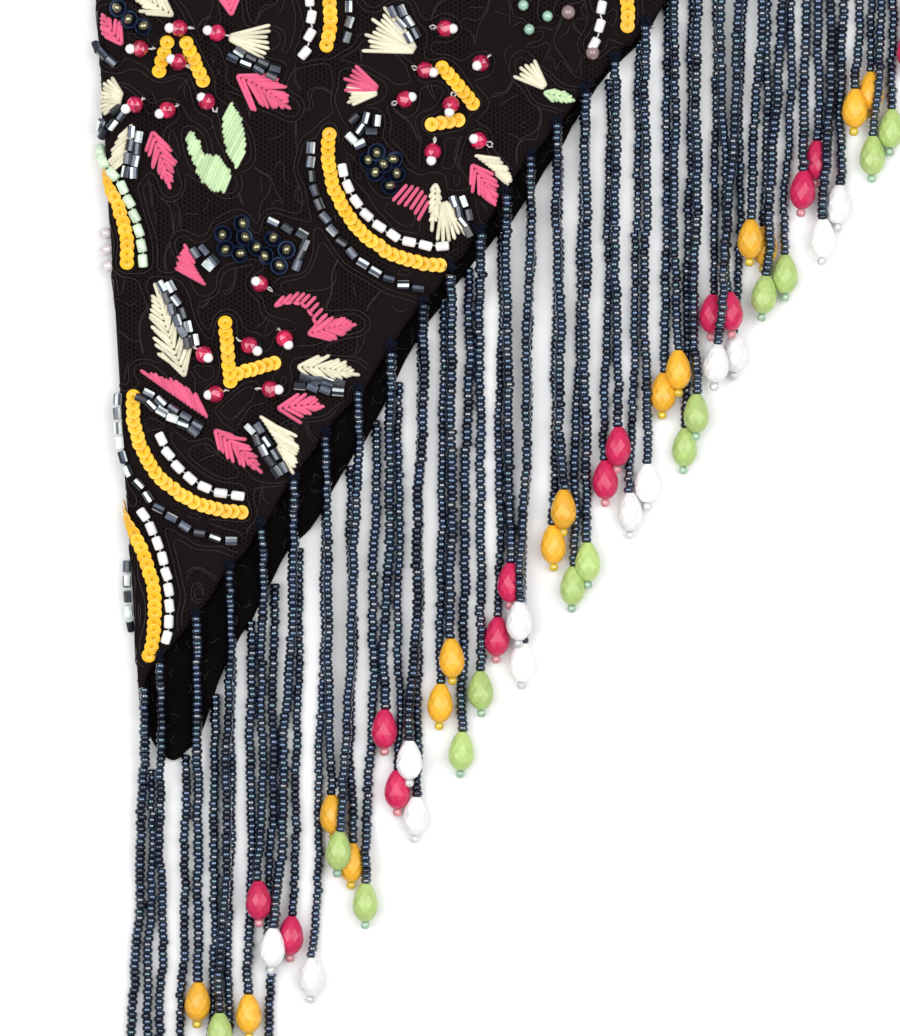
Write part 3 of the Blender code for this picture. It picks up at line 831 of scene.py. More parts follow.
class Finish:
    """A material built up node by node."""

    def __init__(self, name):
        self.material = bpy.data.materials.new(name)
        self.material.use_nodes = True
        self.nodes = self.material.node_tree.nodes
        self.links = self.material.node_tree.links
        self.surface = self.nodes["Principled BSDF"]
        self.place = self.nodes.new("ShaderNodeTexCoord").outputs["Object"]

    def set(self, **values):
        """Set the surface's own sockets, their names written with underscores."""
        for name, value in values.items():
            self.surface.inputs[name.replace("_", " ").title().replace("Ior", "IOR")].default_value = value

    def math(self, operation, *values):
        node = self.nodes.new("ShaderNodeMath")
        node.operation = operation
        for k, value in enumerate(values):
            self.feed(value, node.inputs[k])
        return node.outputs[0]

    def feed(self, value, socket):
        if isinstance(value, bpy.types.NodeSocket):
            self.links.new(value, socket)
        else:
            socket.default_value = value

    def noise(self, size, detail=2.0):
        """A soft random grain whose lumps are about this many millimetres."""
        node = self.nodes.new("ShaderNodeTexNoise")
        node.inputs["Scale"].default_value = 1.0 / (size * MM)
        node.inputs["Detail"].default_value = detail
        self.links.new(self.place, node.inputs["Vector"])
        return node.outputs["Fac"]

    def grain(self, size, detail=2.0, low=0.35):
        """Noise drawn out until it runs from nought to one."""
        return self.range(self.noise(size, detail), low, 1.0 - low, 0.0, 1.0)

    def range(self, value, low, high, to_low, to_high):
        node = self.nodes.new("ShaderNodeMapRange")
        self.feed(value, node.inputs["Value"])
        names = ("From Min", "From Max", "To Min", "To Max")
        for name, number in zip(names, (low, high, to_low, to_high)):
            node.inputs[name].default_value = number
        return node.outputs["Result"]

    def mix(self, share, first, second, blend="MIX"):
        node = self.nodes.new("ShaderNodeMix")
        node.data_type = "RGBA"
        node.blend_type = blend
        self.feed(share, node.inputs[0])
        for value, socket in ((first, node.inputs[6]), (second, node.inputs[7])):
            self.feed(value if isinstance(value, bpy.types.NodeSocket) else (*value, 1.0), socket)
        return node.outputs[2]

    def parts(self, kind, value):
        """The separate parts of a colour or a place."""
        node = self.nodes.new(f"ShaderNodeSeparate{kind}")
        self.links.new(value, node.inputs[0])
        return node.outputs

    def tint(self):
        """The colour that each small shape was given."""
        node = self.nodes.new("ShaderNodeAttribute")
        node.attribute_name = "tint"
        return node.outputs["Color"]

    def colour(self, value):
        self.feed(value, self.surface.inputs["Base Color"])

    def speckle(self, share, colour, dark, bright, tinted=True):
        """Colour the surface between a darker and a brighter form of a colour, times its tint."""
        base = self.mix(share, scaled(colour, dark), scaled(colour, bright))
        self.colour(self.mix(1.0, base, self.tint(), "MULTIPLY") if tinted else base)

    def bump(self, height, depth):
        """Relief of this depth in millimetres."""
        node = self.nodes.new("ShaderNodeBump")
        node.inputs["Strength"].default_value = 1.0
        node.inputs["Distance"].default_value = depth * MM
        self.links.new(height, node.inputs["Height"])
        self.links.new(node.outputs["Normal"], self.surface.inputs["Normal"])


def glass(name, colour, rough=0.12, coat=0.6, grain=0.02, vary=0.25, **own):
    """Glossy beads: cloudy glass with a clear skin, each with its own tint."""
    finish = Finish(name)
    finish.speckle(finish.grain(1.6, low=0.3), colour, 1.0 - vary, 1.0 + vary)
    finish.set(roughness=rough, coat_weight=coat, coat_roughness=0.04)
    finish.set(**own)
    finish.bump(finish.noise(0.5), grain)
    return finish.material


def floss(name, colour, **own):
    """Satin floss: fine strands that shine along their length."""
    finish = Finish(name)
    strands = finish.grain(0.12, 3.0)
    finish.speckle(strands, colour, 0.72, 1.12)
    finish.set(roughness=0.5, sheen_weight=0.25, sheen_roughness=0.4)
    finish.set(**own)
    finish.bump(strands, 0.05)
    return finish.material


def foil():
    """Yellow sequins: smooth, with a soft skin."""
    finish = Finish("yellow_sequin")
    finish.speckle(finish.grain(2.4, low=0.3), colour_of("yellow"), 0.94, 1.05)
    finish.set(roughness=0.38, coat_weight=0.25, coat_roughness=0.2)
    finish.bump(finish.noise(0.4), 0.02)
    return finish.material


def twisted_cord():
    """The lace's black cord, with painted shade that makes it darker between its twists."""
    finish = Finish("black_cord")
    twist = finish.grain(0.25, 3.0)
    # Painted shade: the colour darkens with the relief, low between the twists
    finish.speckle(twist, colour_of("cord"), 0.5, 1.5, tinted=False)
    finish.set(roughness=0.7, specular_ior_level=0.1)
    finish.bump(twist, 0.03)
    return finish.material


def net_height(finish, pitch):
    """The holes of a hexagonal net: three waves that cross at sixty degrees."""
    place = finish.parts("XYZ", finish.place)
    wave = 4 * math.pi / (math.sqrt(3) * pitch * MM)
    ripples = []
    for turn in (0.0, math.pi / 3, 2 * math.pi / 3):
        right = finish.math("MULTIPLY", place["X"], wave * math.cos(turn))
        up = finish.math("MULTIPLY", place["Y"], wave * math.sin(turn))
        ripples.append(finish.math("COSINE", finish.math("ADD", right, up)))
    total = finish.math("ADD", finish.math("ADD", *ripples[:2]), ripples[2])
    return finish.range(total, -0.3, 1.5, 0.0, 1.0)


def worked_lace():
    """Black lace: net and closer-woven places, set apart by the tint that the cloth carries."""
    finish = Finish("black_lace_net")
    net, closer = (net_height(finish, size_of("net_hole") * share) for share in (1.0, 0.55))
    fuzz = finish.noise(0.35, 4.0)
    open_part = finish.mix(net, colour_of("lace", 1.35), colour_of("lace", 0.12))
    woven_part = finish.mix(closer, colour_of("lace", 1.5), colour_of("lace", 0.7))
    base = finish.mix(finish.parts("Color", finish.tint())[0], open_part, woven_part)
    finish.colour(finish.mix(finish.range(fuzz, 0.35, 0.7, 0.0, 0.35), base, colour_of("lace", 1.9)))
    holes, hairs = finish.math("MULTIPLY", net, -0.8), finish.math("MULTIPLY", fuzz, 0.5)
    finish.bump(finish.math("ADD", holes, hairs), 0.10)
    finish.set(roughness=0.9, specular_ior_level=0.05)
    return finish.material


def plain_nap():
    """The lining: a soft black nap that lies unevenly."""
    finish = Finish("black_lining_nap")
    nap = finish.noise(0.3, 5.0)
    drawn_out = finish.range(nap, 0.35, 0.65, 0.0, 1.0)
    base = finish.mix(drawn_out, colour_of("lining", 0.5), colour_of("lining", 1.6))
    lay = finish.math("MULTIPLY", finish.grain(9.0), 0.5)
    finish.colour(finish.mix(lay, base, colour_of("lining", 2.0)))
    finish.set(roughness=0.95, specular_ior_level=0.04)
    finish.bump(nap, 0.14)
    return finish.material


def pale_surface():
    """The plain surface that the bandana lies on."""
    finish = Finish("pale_floor")
    finish.speckle(finish.grain(4.0, 4.0, 0.3), colour_of("floor"), 0.99, 1.01, tinted=False)
    finish.set(roughness=0.9, specular_ior_level=0.1)
    return finish.material


# Where the embroidery goes


def beside(home, row, end=""):
    """A place on the cloth: a row's right and up, from a motif's middle as it lies on the table."""
    out, along = unturned(row[f"{end}right"], row[f"{end}up"])
    return home["across"] + out, home["along"] + along


def homes():
    """Every spray's place on the cloth: those that the tables name, and the same ones again further up."""
    found = [dict(row) for row in SPRAYS]
    first = SPRAYS[0]
    for i in range(-REPEAT_SPAN, REPEAT_SPAN + 1):
        for j in range(1, REPEAT_SPAN):
            across = first["across"] + i * REPEAT_ACROSS[0] + j * REPEAT_ALONG[0]
            along = first["along"] + i * REPEAT_ACROSS[1] + j * REPEAT_ALONG[1]
            if -QUARTER * 3 < across and hem(across) + REPEAT_ROOM < along < top(across):
                found.append({"spray": "CAH"[(i + 2 * j) % 3], "across": across, "along": along})
    return found


HOMES = homes()


def motifs(rows):
    """Each spray's place with each of a table's rows that belong to it."""
    return [(home, row) for home in HOMES for row in rows if row["spray"] == home["spray"]]


def arc_places(arc, pitch):
    """Places at an even pitch down an arc, each with the heading of the arc there."""
    first, last = math.radians(arc["first"]), math.radians(arc["last"])
    length = abs(last - first) * (arc["first_radius"] + arc["last_radius"]) / 2
    count = max(2, round(length / pitch) + 1)
    found = []
    for share in np.linspace(0.0, 1.0, count):
        angle = first + (last - first) * share
        radius = arc["first_radius"] + (arc["last_radius"] - arc["first_radius"]) * share
        across = arc["across"] + radius * math.cos(angle)
        along = arc["along"] + radius * math.sin(angle)
        found.append((across, along, angle + math.pi / 2))
    return found


def arcs_beside(rows, home):
    """Crescents that a table gives from a spray's middle, at their places on the cloth."""
    return [{**row, **{key: row[key] + home[key] for key in ("across", "along")}} for row in rows]


def arcs_meet(arcs, others):
    """Whether some crescents come too near to others to be sewn on flat."""
    here, there = (
        np.array([place[:2] for arc in few for place in arc_places(arc, WHITE_PITCH)])
        for few in (arcs, others)
    )
    return np.linalg.norm(here[:, None] - there[None], axis=2).min() < ARC_ROOM


def every_arc():
    """The crescents that the table names, and those of the sprays further up that cross no other."""
    found = [dict(row) for row in ARCS]
    for rows, sprays in ((LOWER_ARCS, "C"), (UPPER_ARCS, "ACH")):
        for home in HOMES[len(SPRAYS):]:
            arcs = arcs_beside(rows, home)
            if home["spray"] in sprays and not arcs_meet(arcs, found):
                found += arcs
    return found


EVERY_ARC = every_arc()


def arc_beads(bead, pitch):
    """Places at an even pitch down every crescent of one kind of bead."""
    return [place for arc in EVERY_ARC if arc["bead"] == bead for place in arc_places(arc, pitch)]


def line_places(start, end, pitch):
    """Places at an even pitch from one place to another, with the heading."""
    run = np.subtract(end, start)
    count = max(2, round(float(np.linalg.norm(run)) / pitch) + 1)
    heading = math.atan2(run[1], run[0])
    return [(*(np.asarray(start) + run * share), heading) for share in np.linspace(0.0, 1.0, count)]


def sequin_places():
    """Flat sequins: the crescents', and the two legs in the middle of each spray."""
    found = arc_beads("sequin", SEQUIN_PITCH)
    for home, leg in motifs(SEQUIN_LEGS):
        found += line_places(beside(home, leg), beside(home, leg, "to_"), SEQUIN_PITCH)
    return found


def bugle_places():
    """Cut bugles: the crescents' outer rows, and the rows beside the leaves."""
    found = arc_beads("grey", GREY_PITCH)
    for home, row in motifs(BUGLE_ROWS + BUGLES):
        start = beside(home, row)
        if "turn" in row:
            found.append((*start, math.radians(row["turn"]) - LEAN))
            continue
        end = beside(home, row, "to_")
        heading = math.atan2(end[1] - start[1], end[0] - start[0])
        for k in range(row["rows"]):
            aside = (k - (row["rows"] - 1) / 2) * BUGLE_ROW
            move = (-math.sin(heading) * aside, math.cos(heading) * aside)
            shift = (k % 2) * BUGLE_SHIFT * np.array((math.cos(heading), math.sin(heading)))
            found += line_places(np.add(start, move) + shift, np.add(end, move), BUGLE_PITCH)
    return found


def leaf_plans():
    """Every leaf on the cloth: its row, its foot and its tip."""
    found = []
    for home, row in motifs(LEAVES + BANDS):
        foot, tip = beside(home, row), beside(home, row, "tip_")
        if on_piece(*foot, room=FOOT_ROOM) and on_piece(*tip, room=TIP_ROOM):
            found.append((row, np.array(foot), np.array(tip)))
    return found


def motif_samples():
    """Places spread over everything that is sewn on, for the cord that runs round it."""
    tubes = arc_beads("white", WHITE_PITCH) + arc_beads("mint", WHITE_PITCH)
    found = [place[:2] for place in sequin_places() + bugle_places() + tubes]
    for _, foot, tip in leaf_plans():
        found += [foot + (tip - foot) * share for share in np.linspace(0.0, 1.0, 6)]
    return np.array([*found, *(beside(home, row) for home, row in motifs(CRYSTALS + CUPS))])


# Lace


FIELD_STEP = 1.1
CORD_STEP = 1.25
COLUMN_STEP = 3.0
FINE_STEP = 1.2
FINE_REACH = 45.0
EASE = (-1.8, -0.9, 0.0, 0.9, 1.8)
EDGE_WEAR = 0.60
EDGE_ROWS = (0.3, 0.9, 1.8)
EDGE_DROP = 0.75
FEWEST = 4
LACE_ROWS = 104
LINING_ROWS = 44
END_ROOM = 1.0
SAME_PLACE = 0.05

# Smooth random fields, each from sets of waves: their strength, size and seed
PATCHES = table("strength size seed", (1.0, 17.0, 3), (0.45, 5.0, 4))
WANDER = table("strength size seed", (1.0, 10.0, 5))
FINE_WANDER = table("strength size seed", (0.3, 4.0, 6))
RIPPLE = table("strength size seed", (0.10, 26.0, 8), (0.05, 7.0, 9))
WEAR = table("strength size seed", (1.0, 12.0, 12), (0.5, 6.0, 13))


def waves(across, along, size, seed, count=14):
    """A smooth random field from waves of about this size, between about -2 and 2."""
    chance = np.random.default_rng(seed)
    total = np.zeros_like(across, dtype=float)
    for _ in range(count):
        turn, phase = chance.uniform(0.0, 2 * math.pi, 2)
        pace = 2 * math.pi / (size * chance.uniform(0.7, 1.6))
        total += np.cos(pace * (across * math.cos(turn) + along * math.sin(turn)) + phase)
    return total * math.sqrt(2.0 / count)


def field_of(rows, across, along):
    """The smooth random field that a table's sets of waves make together."""
    return sum(row["strength"] * waves(across, along, row["size"], row["seed"]) for row in rows)


def patches(across, along):
    """Above nought where the lace is closely woven, below where it is net."""
    return field_of(PATCHES, across, along)


def motif_distance(across, along, samples):
    """How far each place of a grid is from the nearest thing sewn on, up to a few millimetres."""
    reach = 7.0
    least = np.full(across.shape, reach)
    columns, rows = across[:, 0], along[0]
    for x, y in samples:
        i = slice(*np.searchsorted(columns, (x - reach, x + reach)))
        j = slice(*np.searchsorted(rows, (y - reach, y + reach)))
        least[i, j] = np.minimum(least[i, j], np.hypot(across[i, j] - x, along[i, j] - y))
    return least


def contours(field, columns, rows, level, shown):
    """The lines where a field crosses a level, as lists of places, by marching squares."""
    above = field > level
    links = {}

    def crossing(a, b):
        share = (level - field[a]) / (field[b] - field[a])
        first, second = (columns[a[0]], rows[a[1]]), (columns[b[0]], rows[b[1]])
        return tuple(p + (q - p) * share for p, q in zip(first, second))

    places = {}
    mixed = above[:-1, :-1].astype(int) + above[1:, :-1] + above[:-1, 1:] + above[1:, 1:]
    for i, j in zip(*np.nonzero((mixed > 0) & (mixed < 4) & shown[:-1, :-1])):
        corners = [(i, j), (i + 1, j), (i + 1, j + 1), (i, j + 1)]
        cut = []
        for k in range(4):
            a, b = corners[k], corners[(k + 1) % 4]
            if above[a] != above[b]:
                key = (min(a, b), max(a, b))
                places.setdefault(key, crossing(*key))
                cut.append(key)
        for a, b in zip(cut[::2], cut[1::2]):
            links.setdefault(a, []).append(b)
            links.setdefault(b, []).append(a)
    return chains(links, places)


def chains(links, places):
    """Joined-up lines from links between pairs of places."""
    found = []
    ends = [key for key, near in links.items() if len(near) == 1]
    for start in [*ends, *list(links)]:
        line = [start]
        while links.get(line[-1]):
            after = links[line[-1]].pop()
            links[after].remove(line[-1])
            line.append(after)
        if len(line) >= FEWEST:
            found.append(np.array([places[key] for key in line]))
    return found


def even_line(line, step):
    """A line with its corners eased and its points at an even step."""
    for _ in range(4):
        line = np.concatenate([line[:1], (line[:-2] + 2 * line[1:-1] + line[2:]) / 4, line[-1:]])
    downs = distances(line)
    at = np.linspace(0.0, downs[-1], max(2, round(downs[-1] / step) + 1))
    return np.stack([np.interp(at, downs, line[:, k]) for k in (0, 1)], axis=1)


def lace_ripple(across, along):
    """The lace's slight unevenness, in millimetres."""
    return field_of(RIPPLE, across, along)


def worn(across):
    """How far the hem has worked up or down at a place across, in millimetres."""
    return float(EDGE_WEAR * field_of(WEAR, np.array(across), np.array(0.0)))


def worn_hem(across):
    """The hem as it has worked up and down, its corners eased."""
    return sum(hem(across + move) for move in EASE) / len(EASE) + worn(across)


def cloth_places():
    """Places across where the worked cloth has a column of points."""
    front_end, back_end = side_end(1)[0] - BLUNT, side_end(-1)[0] + BLUNT
    hems = [CORNER_ACROSS + sign * row["out"] for row in HEM_ROWS[:-1] for sign in (-1, 1)]
    back = [*np.arange(back_end, -FINE_REACH, COLUMN_STEP), *np.arange(-FINE_REACH, -QUARTER, FINE_STEP)]
    bend = list(np.linspace(-QUARTER, QUARTER, 13))
    near = np.arange(QUARTER + FINE_STEP, FINE_REACH, FINE_STEP)
    front = [*near, *np.arange(FINE_REACH, front_end - END_ROOM, COLUMN_STEP)]
    exact = [h for h in hems if back_end < h < front_end]
    places = sorted([*back, *bend, *front, front_end, *exact])
    return [p for k, p in enumerate(places) if not k or p - places[k - 1] > SAME_PLACE]


def folded_sheet(places, rows, edge, depths, ripple, tint):
    """A closed thin sheet that follows the fold: its outer skin, its inner skin and its edges."""
    low_edge, high_edge = edge
    columns = np.array(places)
    low = np.array([low_edge(a) for a in columns])
    high = np.array([high_edge(a) for a in columns])
    across = np.repeat(columns[:, None], rows, axis=1)
    near = np.array((0.0, *EDGE_ROWS))
    shares = np.linspace(0.0, 1.0, rows - len(near) + 1)[1:]
    body = low[:, None] + near[-1] + (high - low - near[-1])[:, None] * shares[None, :]
    along = np.concatenate((low[:, None] + near[None, :], body), axis=1)
    skins = []
    for depth in depths:
        uneven = ripple(across, along) if depth == depths[0] else 0.0 * across
        skins.append(drape(np.stack((across, along, uneven - depth), axis=-1).reshape(-1, 3)))
    wide, tall = len(columns), rows
    index = np.arange(wide * tall).reshape(wide, tall)
    a, b, c, d = index[:-1, :-1], index[1:, :-1], index[1:, 1:], index[:-1, 1:]
    outer = np.stack((a, b, c, d), axis=-1).reshape(-1, 4)
    inner = outer[:, ::-1] + wide * tall
    rim = np.concatenate((index[:, 0], index[-1, 1:], index[-2::-1, -1], index[0, -2:0:-1]))
    after = np.roll(rim, -1)
    sides = np.stack((after, rim, rim + wide * tall, after + wide * tall), axis=-1)
    heap = Heap()
    heap.add((np.concatenate(skins), np.concatenate((outer, inner, sides)).tolist()))
    woven = tint(across, along).reshape(-1)
    heap.tints = [np.stack([np.tile(woven, 2)] * 3 + [np.ones(2 * wide * tall)], axis=-1)]
    return heap


class PieceOperator:
    """What every operator here shares."""

    bl_options = {"REGISTER", "UNDO"}


class BANDANA_OT_lace(PieceOperator, bpy.types.Operator):
    """Make the worked lace that wraps round the fold"""

    bl_idname = "bandana.lace"
    bl_label = "Lace"

    def execute(self, context):
        def woven(across, along):
            return np.clip(0.5 + 2.5 * patches(across, along), 0.0, 1.0)

        def ripple(across, along):
            low = np.array([worn_hem(a) for a in across[:, 0]])[:, None]
            edge = np.clip(1.0 - (along - low) / EDGE_ROWS[-1], 0.0, 1.0)
            return np.where(across > 0.0, lace_ripple(across, along) - 0.08 - EDGE_DROP * edge**2, 0.0)

        heap = folded_sheet(cloth_places(), LACE_ROWS, (worn_hem, top), (0.0, FACE_WALL), ripple, woven)
        lace = dress(heap.make("lace_cloth", worked_lace()), "black_lace", "lace_face")
        return {"FINISHED"}


class BANDANA_OT_lining(PieceOperator, bpy.types.Operator):
    """Make the plain lining inside the fold"""

    bl_idname = "bandana.lining"
    bl_label = "Lining"

    def execute(self, context):
        front_end = side_end(1)[0] - BLUNT - LINING_INSET
        back_end = side_end(-1)[0] + BLUNT + LINING_INSET
        inner = [p for p in cloth_places() if back_end + END_ROOM < p < front_end - END_ROOM]

        def low(across):
            return worn_hem(across) + LINING_INSET / math.sin(side_angle(across > CORNER_ACROSS))

        def high(across):
            return top(across) - LINING_INSET

        def flat_nap(across, along):
            return np.zeros_like(across)

        def even(across, along):
            return np.ones_like(across)

        places = [back_end, *inner, front_end]
        heap = folded_sheet(places, LINING_ROWS, (low, high), LINING_DEPTHS, flat_nap, even)
        lining = dress(heap.make("lining_cloth", plain_nap()), "black_lining", "lining")
        return {"FINISHED"}


class BANDANA_OT_cords(PieceOperator, bpy.types.Operator):
    """Lay the fine cords that outline the lace's patches and motifs"""

    bl_idname = "bandana.cords"
    bl_label = "Cords"

    LOWEST, HIGHEST, LEFTMOST = -6.0, 380.0, -2.4
    EDGE_ROOM = 2.0
    LIFT = 0.10

    def lines(self):
        """The cords' lines on the cloth: round what is sewn on, round the patches, and in the patches."""
        columns = np.arange(self.LEFTMOST, side_end(1)[0], FIELD_STEP)
        rows = np.arange(self.LOWEST, self.HIGHEST, FIELD_STEP)
        across, along = np.meshgrid(columns, rows, indexing="ij")
        low, high = (np.array([edge(a) for a in columns])[:, None] for edge in (hem, top))
        on = (along > low + self.EDGE_ROOM) & (along < high - self.EDGE_ROOM)
        near = motif_distance(across, along, motif_samples())
        wander = field_of(WANDER, across, along)
        motif = near + 0.35 * wander
        patch = patches(across, along)
        away = on & (near > 3.6)
        inside = away & (near > 6.0) & (np.abs(patch) > 0.45)
        loose = wander + field_of(FINE_WANDER, across, along)
        fields = (
            (motif, 2.5, on),
            (motif, 3.5, on),
            (patch, -0.12, away),
            (patch, 0.12, away),
            (loose, 0.3, inside),
        )
        found = [contours(field, columns, rows, level, shown) for field, level, shown in fields]
        return [even_line(line, CORD_STEP) for lines in found for line in lines]

    def execute(self, context):
        radius = size_of("cord_width") / 2
        heap = Heap()
        for line in self.lines():
            if len(line) >= FEWEST:
                height = lace_ripple(line[:, 0], line[:, 1]) + self.LIFT
                heap.add(tube(drape(np.column_stack((line, height))), radius, face_up(line[:, 0]), sides=3))
        dress(heap.make("lace_cords", twisted_cord()), "black_lace")
        return {"FINISHED"}


class BANDANA_OT_leaves(PieceOperator, bpy.types.Operator):
    """Work the leaves in satin floss, stitch by stitch"""

    bl_idname = "bandana.leaves"
    bl_label = "Leaves"
    SEED = 21

    STITCH_STEP = 1.3
    HALF_STEP = 0.95
    BAND_STEP = 0.66
    BAND_END = 0.62
    BAND_RAGGED = 0.4
    FAN_STEP = 0.92
    FAN_FOOT = 1.1
    FAN_INNER = 0.6
    FAN_OPEN = 0.8
    FAN_REACHES = (0.80, 1.02)
    FAN_SHORT_REACHES = (0.45, 0.62)
    COMB_STEP = 1.25
    SLANT = math.radians(31)
    # Combs' spines: how far they bow towards the teeth, how the first tooth leans, and how the last differs
    COMBS = {"comb": (0.27, 0.34, 0.0), "rake": (-0.18, -0.13, 0.2)}
    SPINE_STITCH = 0.14
    TOOTH_OUT = 0.94
    TOOTH_REACHES = (0.82, 1.02)
    # A leaf's edge: how full it is near its foot, how round, in how many steps, and the fewest in a stitch
    FOOT_FULL, ROUND = 0.8, 0.75
    EDGE_STEPS, FEWEST_STEPS = 40, 4
    # A leaf's stitches: the share of the spine that has them, how much they stray, and the vein at the tip
    SPAN = (0.03, 0.84)
    WORKED = 0.8
    STRAY, HALF_STRAY = 0.22, 0.10
    REACHES = (0.86, 1.08)
    SPREAD = 0.08
    VEIN = (0.55, 1.04)
    # How a stitch lies from end to end: its height off the cloth, and its thickness beside the floss's
    LIFTS = (0.15, 0.35, 0.52, 0.52, 0.38, 0.18)
    SWELL = (0.45, 0.88, 1.0, 1.0, 0.84, 0.36)
    OVERLAP = 0.12
    SHORTEST = 1.0
    SHORTEN = 0.9
    EDGE_ROOM = 0.5
    BEND = 0.2
    BOW = 0.09
    SHADES = (0.84, 1.14)

    def outline(self, share, length, half):
        """How long a stitch is that starts at a share of the spine and ends at the leaf's edge."""
        shares = np.linspace(share, 1.0, self.EDGE_STEPS)
        edge = half * np.sin(math.pi * shares**self.FOOT_FULL) ** self.ROUND
        aside = (shares - share) * length * math.tan(self.SLANT)
        past = (aside >= edge)[self.FEWEST_STEPS:]
        last = shares[self.FEWEST_STEPS:][np.argmax(past)] if past.any() else 1.0
        return (last - share) * length / math.cos(self.SLANT)

    def band(self, row, foot, run, ahead, aside, length, chance):
        slant = math.radians(row["slant"])
        way = swung(ahead, aside, slant)
        step = self.BAND_STEP / max(0.4, abs(math.sin(slant)))
        for share in np.linspace(0.0, 1.0, round(length / step) + 1):
            full = self.BAND_END + (1.0 - self.BAND_END) * math.sin(math.pi * share)
            half = way * row["reach"] / 2 * full
            middle = foot + run * share + way * within(chance, self.BAND_RAGGED)
            yield middle - half, middle + half

    def fan(self, foot, ahead, aside, length, width, chance):
        count = max(6, round(width / self.FAN_STEP))
        spread = math.atan2(width / 2, length * self.FAN_OPEN)
        for turn in np.linspace(-spread, spread, count):
            begin = foot + aside * turn * self.FAN_FOOT
            yield begin, begin + swung(ahead, aside, turn) * length * chance.uniform(*self.FAN_REACHES)
        spread *= self.FAN_INNER
        for turn in np.linspace(-spread, spread, count // 2):
            way = swung(ahead, aside, turn)
            yield foot + aside * turn, foot + way * length * chance.uniform(*self.FAN_SHORT_REACHES)

    def comb(self, form, foot, run, ahead, out, length, width, chance):
        bend, lean, turn = self.COMBS[form]

        def spine(share):
            return foot + run * share + out * math.sin(math.pi * share) * length * bend

        for share in np.linspace(0.0, 1.0, round(length / self.COMB_STEP) + 1):
            way = out * self.TOOTH_OUT + ahead * (lean + turn * share)
            yield spine(share), spine(share) + way * width * chance.uniform(*self.TOOTH_REACHES)
        for share in np.linspace(0.0, 1.0 - self.SPINE_STITCH, 6):
            yield spine(share), spine(share + self.SPINE_STITCH)

    def stitches(self, row, foot, tip, chance):
        """Pairs of places that the leaf's stitches run between."""
        run = tip - foot
        length = float(np.linalg.norm(run))
        ahead = run / length
        aside = np.array((-ahead[1], ahead[0]))
        if "reach" in row:
            yield from self.band(row, foot, run, ahead, aside, length, chance)
            return
        width, side = abs(row["width"]), math.copysign(1.0, row["width"])
        if row["form"] == "fan":
            yield from self.fan(foot, ahead, aside, length, width, chance)
            return
        if row["form"] in self.COMBS:
            yield from self.comb(row["form"], foot, run, ahead, aside * side, length, width, chance)
            return
        whole = row["form"] == "leaf"
        half = width / 2 if whole else width
        step, stray = (self.STITCH_STEP, self.STRAY) if whole else (self.HALF_STEP, self.HALF_STRAY)
        for hand in (1.0, -1.0) if whole else (side,):
            for share in np.linspace(*self.SPAN, round(self.WORKED * length / step) + 1):
                reach = self.outline(share, length, half) * chance.uniform(*self.REACHES)
                begin = foot + run * share + aside * math.sin(math.pi * share) * width * self.SPREAD
                turn = self.SLANT * chance.uniform(1.0 - stray, 1.0 + stray) * hand
                yield begin, begin + swung(ahead, aside, turn) * reach
        yield foot + run * self.VEIN[0], foot + run * self.VEIN[1]

    def stitch(self, begin, end, length, layer, radius, chance):
        """One stitch of floss: it rises from the cloth, runs over and goes down again."""
        bend = self.BEND / length
        share = np.array((0.0, bend, 2.5 * bend, 1.0 - 2.5 * bend, 1.0 - bend, 1.0))
        share[2:4] = share[2:4] if share[2] < share[3] else (0.45, 0.55)
        flat = begin[None, :] + (end - begin)[None, :] * share[:, None]
        bow = np.array([within(chance, self.BOW) for _ in range(2)])
        flat += np.sin(math.pi * share)[:, None] * bow
        path = drape(np.column_stack((flat, np.array(self.LIFTS) + self.OVERLAP * layer)))
        return tube(path, radius * np.array(self.SWELL), face_up(flat[:, 0]), sides=6)

    def execute(self, context):
        chance = random.Random(self.SEED)
        radius = size_of("thread_width") / 2
        heaps = {"pink": Heap(), "cream": Heap(), "mint": Heap()}
        for row, foot, tip in leaf_plans():
            for number, (begin, end) in enumerate(self.stitches(row, foot, tip, chance)):
                while np.linalg.norm(end - begin) > self.SHORTEST and not on_piece(*end, room=self.EDGE_ROOM):
                    end = begin + (end - begin) * self.SHORTEN
                length = float(np.linalg.norm(end - begin))
                if length >= self.SHORTEST and on_piece(*begin, room=self.EDGE_ROOM):
                    stitch = self.stitch(begin, end, length, number % 3, radius, chance)
                    heaps[row["colour"]].add(stitch, chance.uniform(*self.SHADES))
        for name, heap in heaps.items():
            dress(heap.make(f"leaves_{name}", floss(f"{name}_floss", colour_of(name))), "floss")
        return {"FINISHED"}


def sewn_on(places):
    """Those of some places that are on the piece, each with the cloth's directions there."""
    for across, along, heading in places:
        if on_piece(across, along):
            yield across, along, heading, cloth_axes(across)


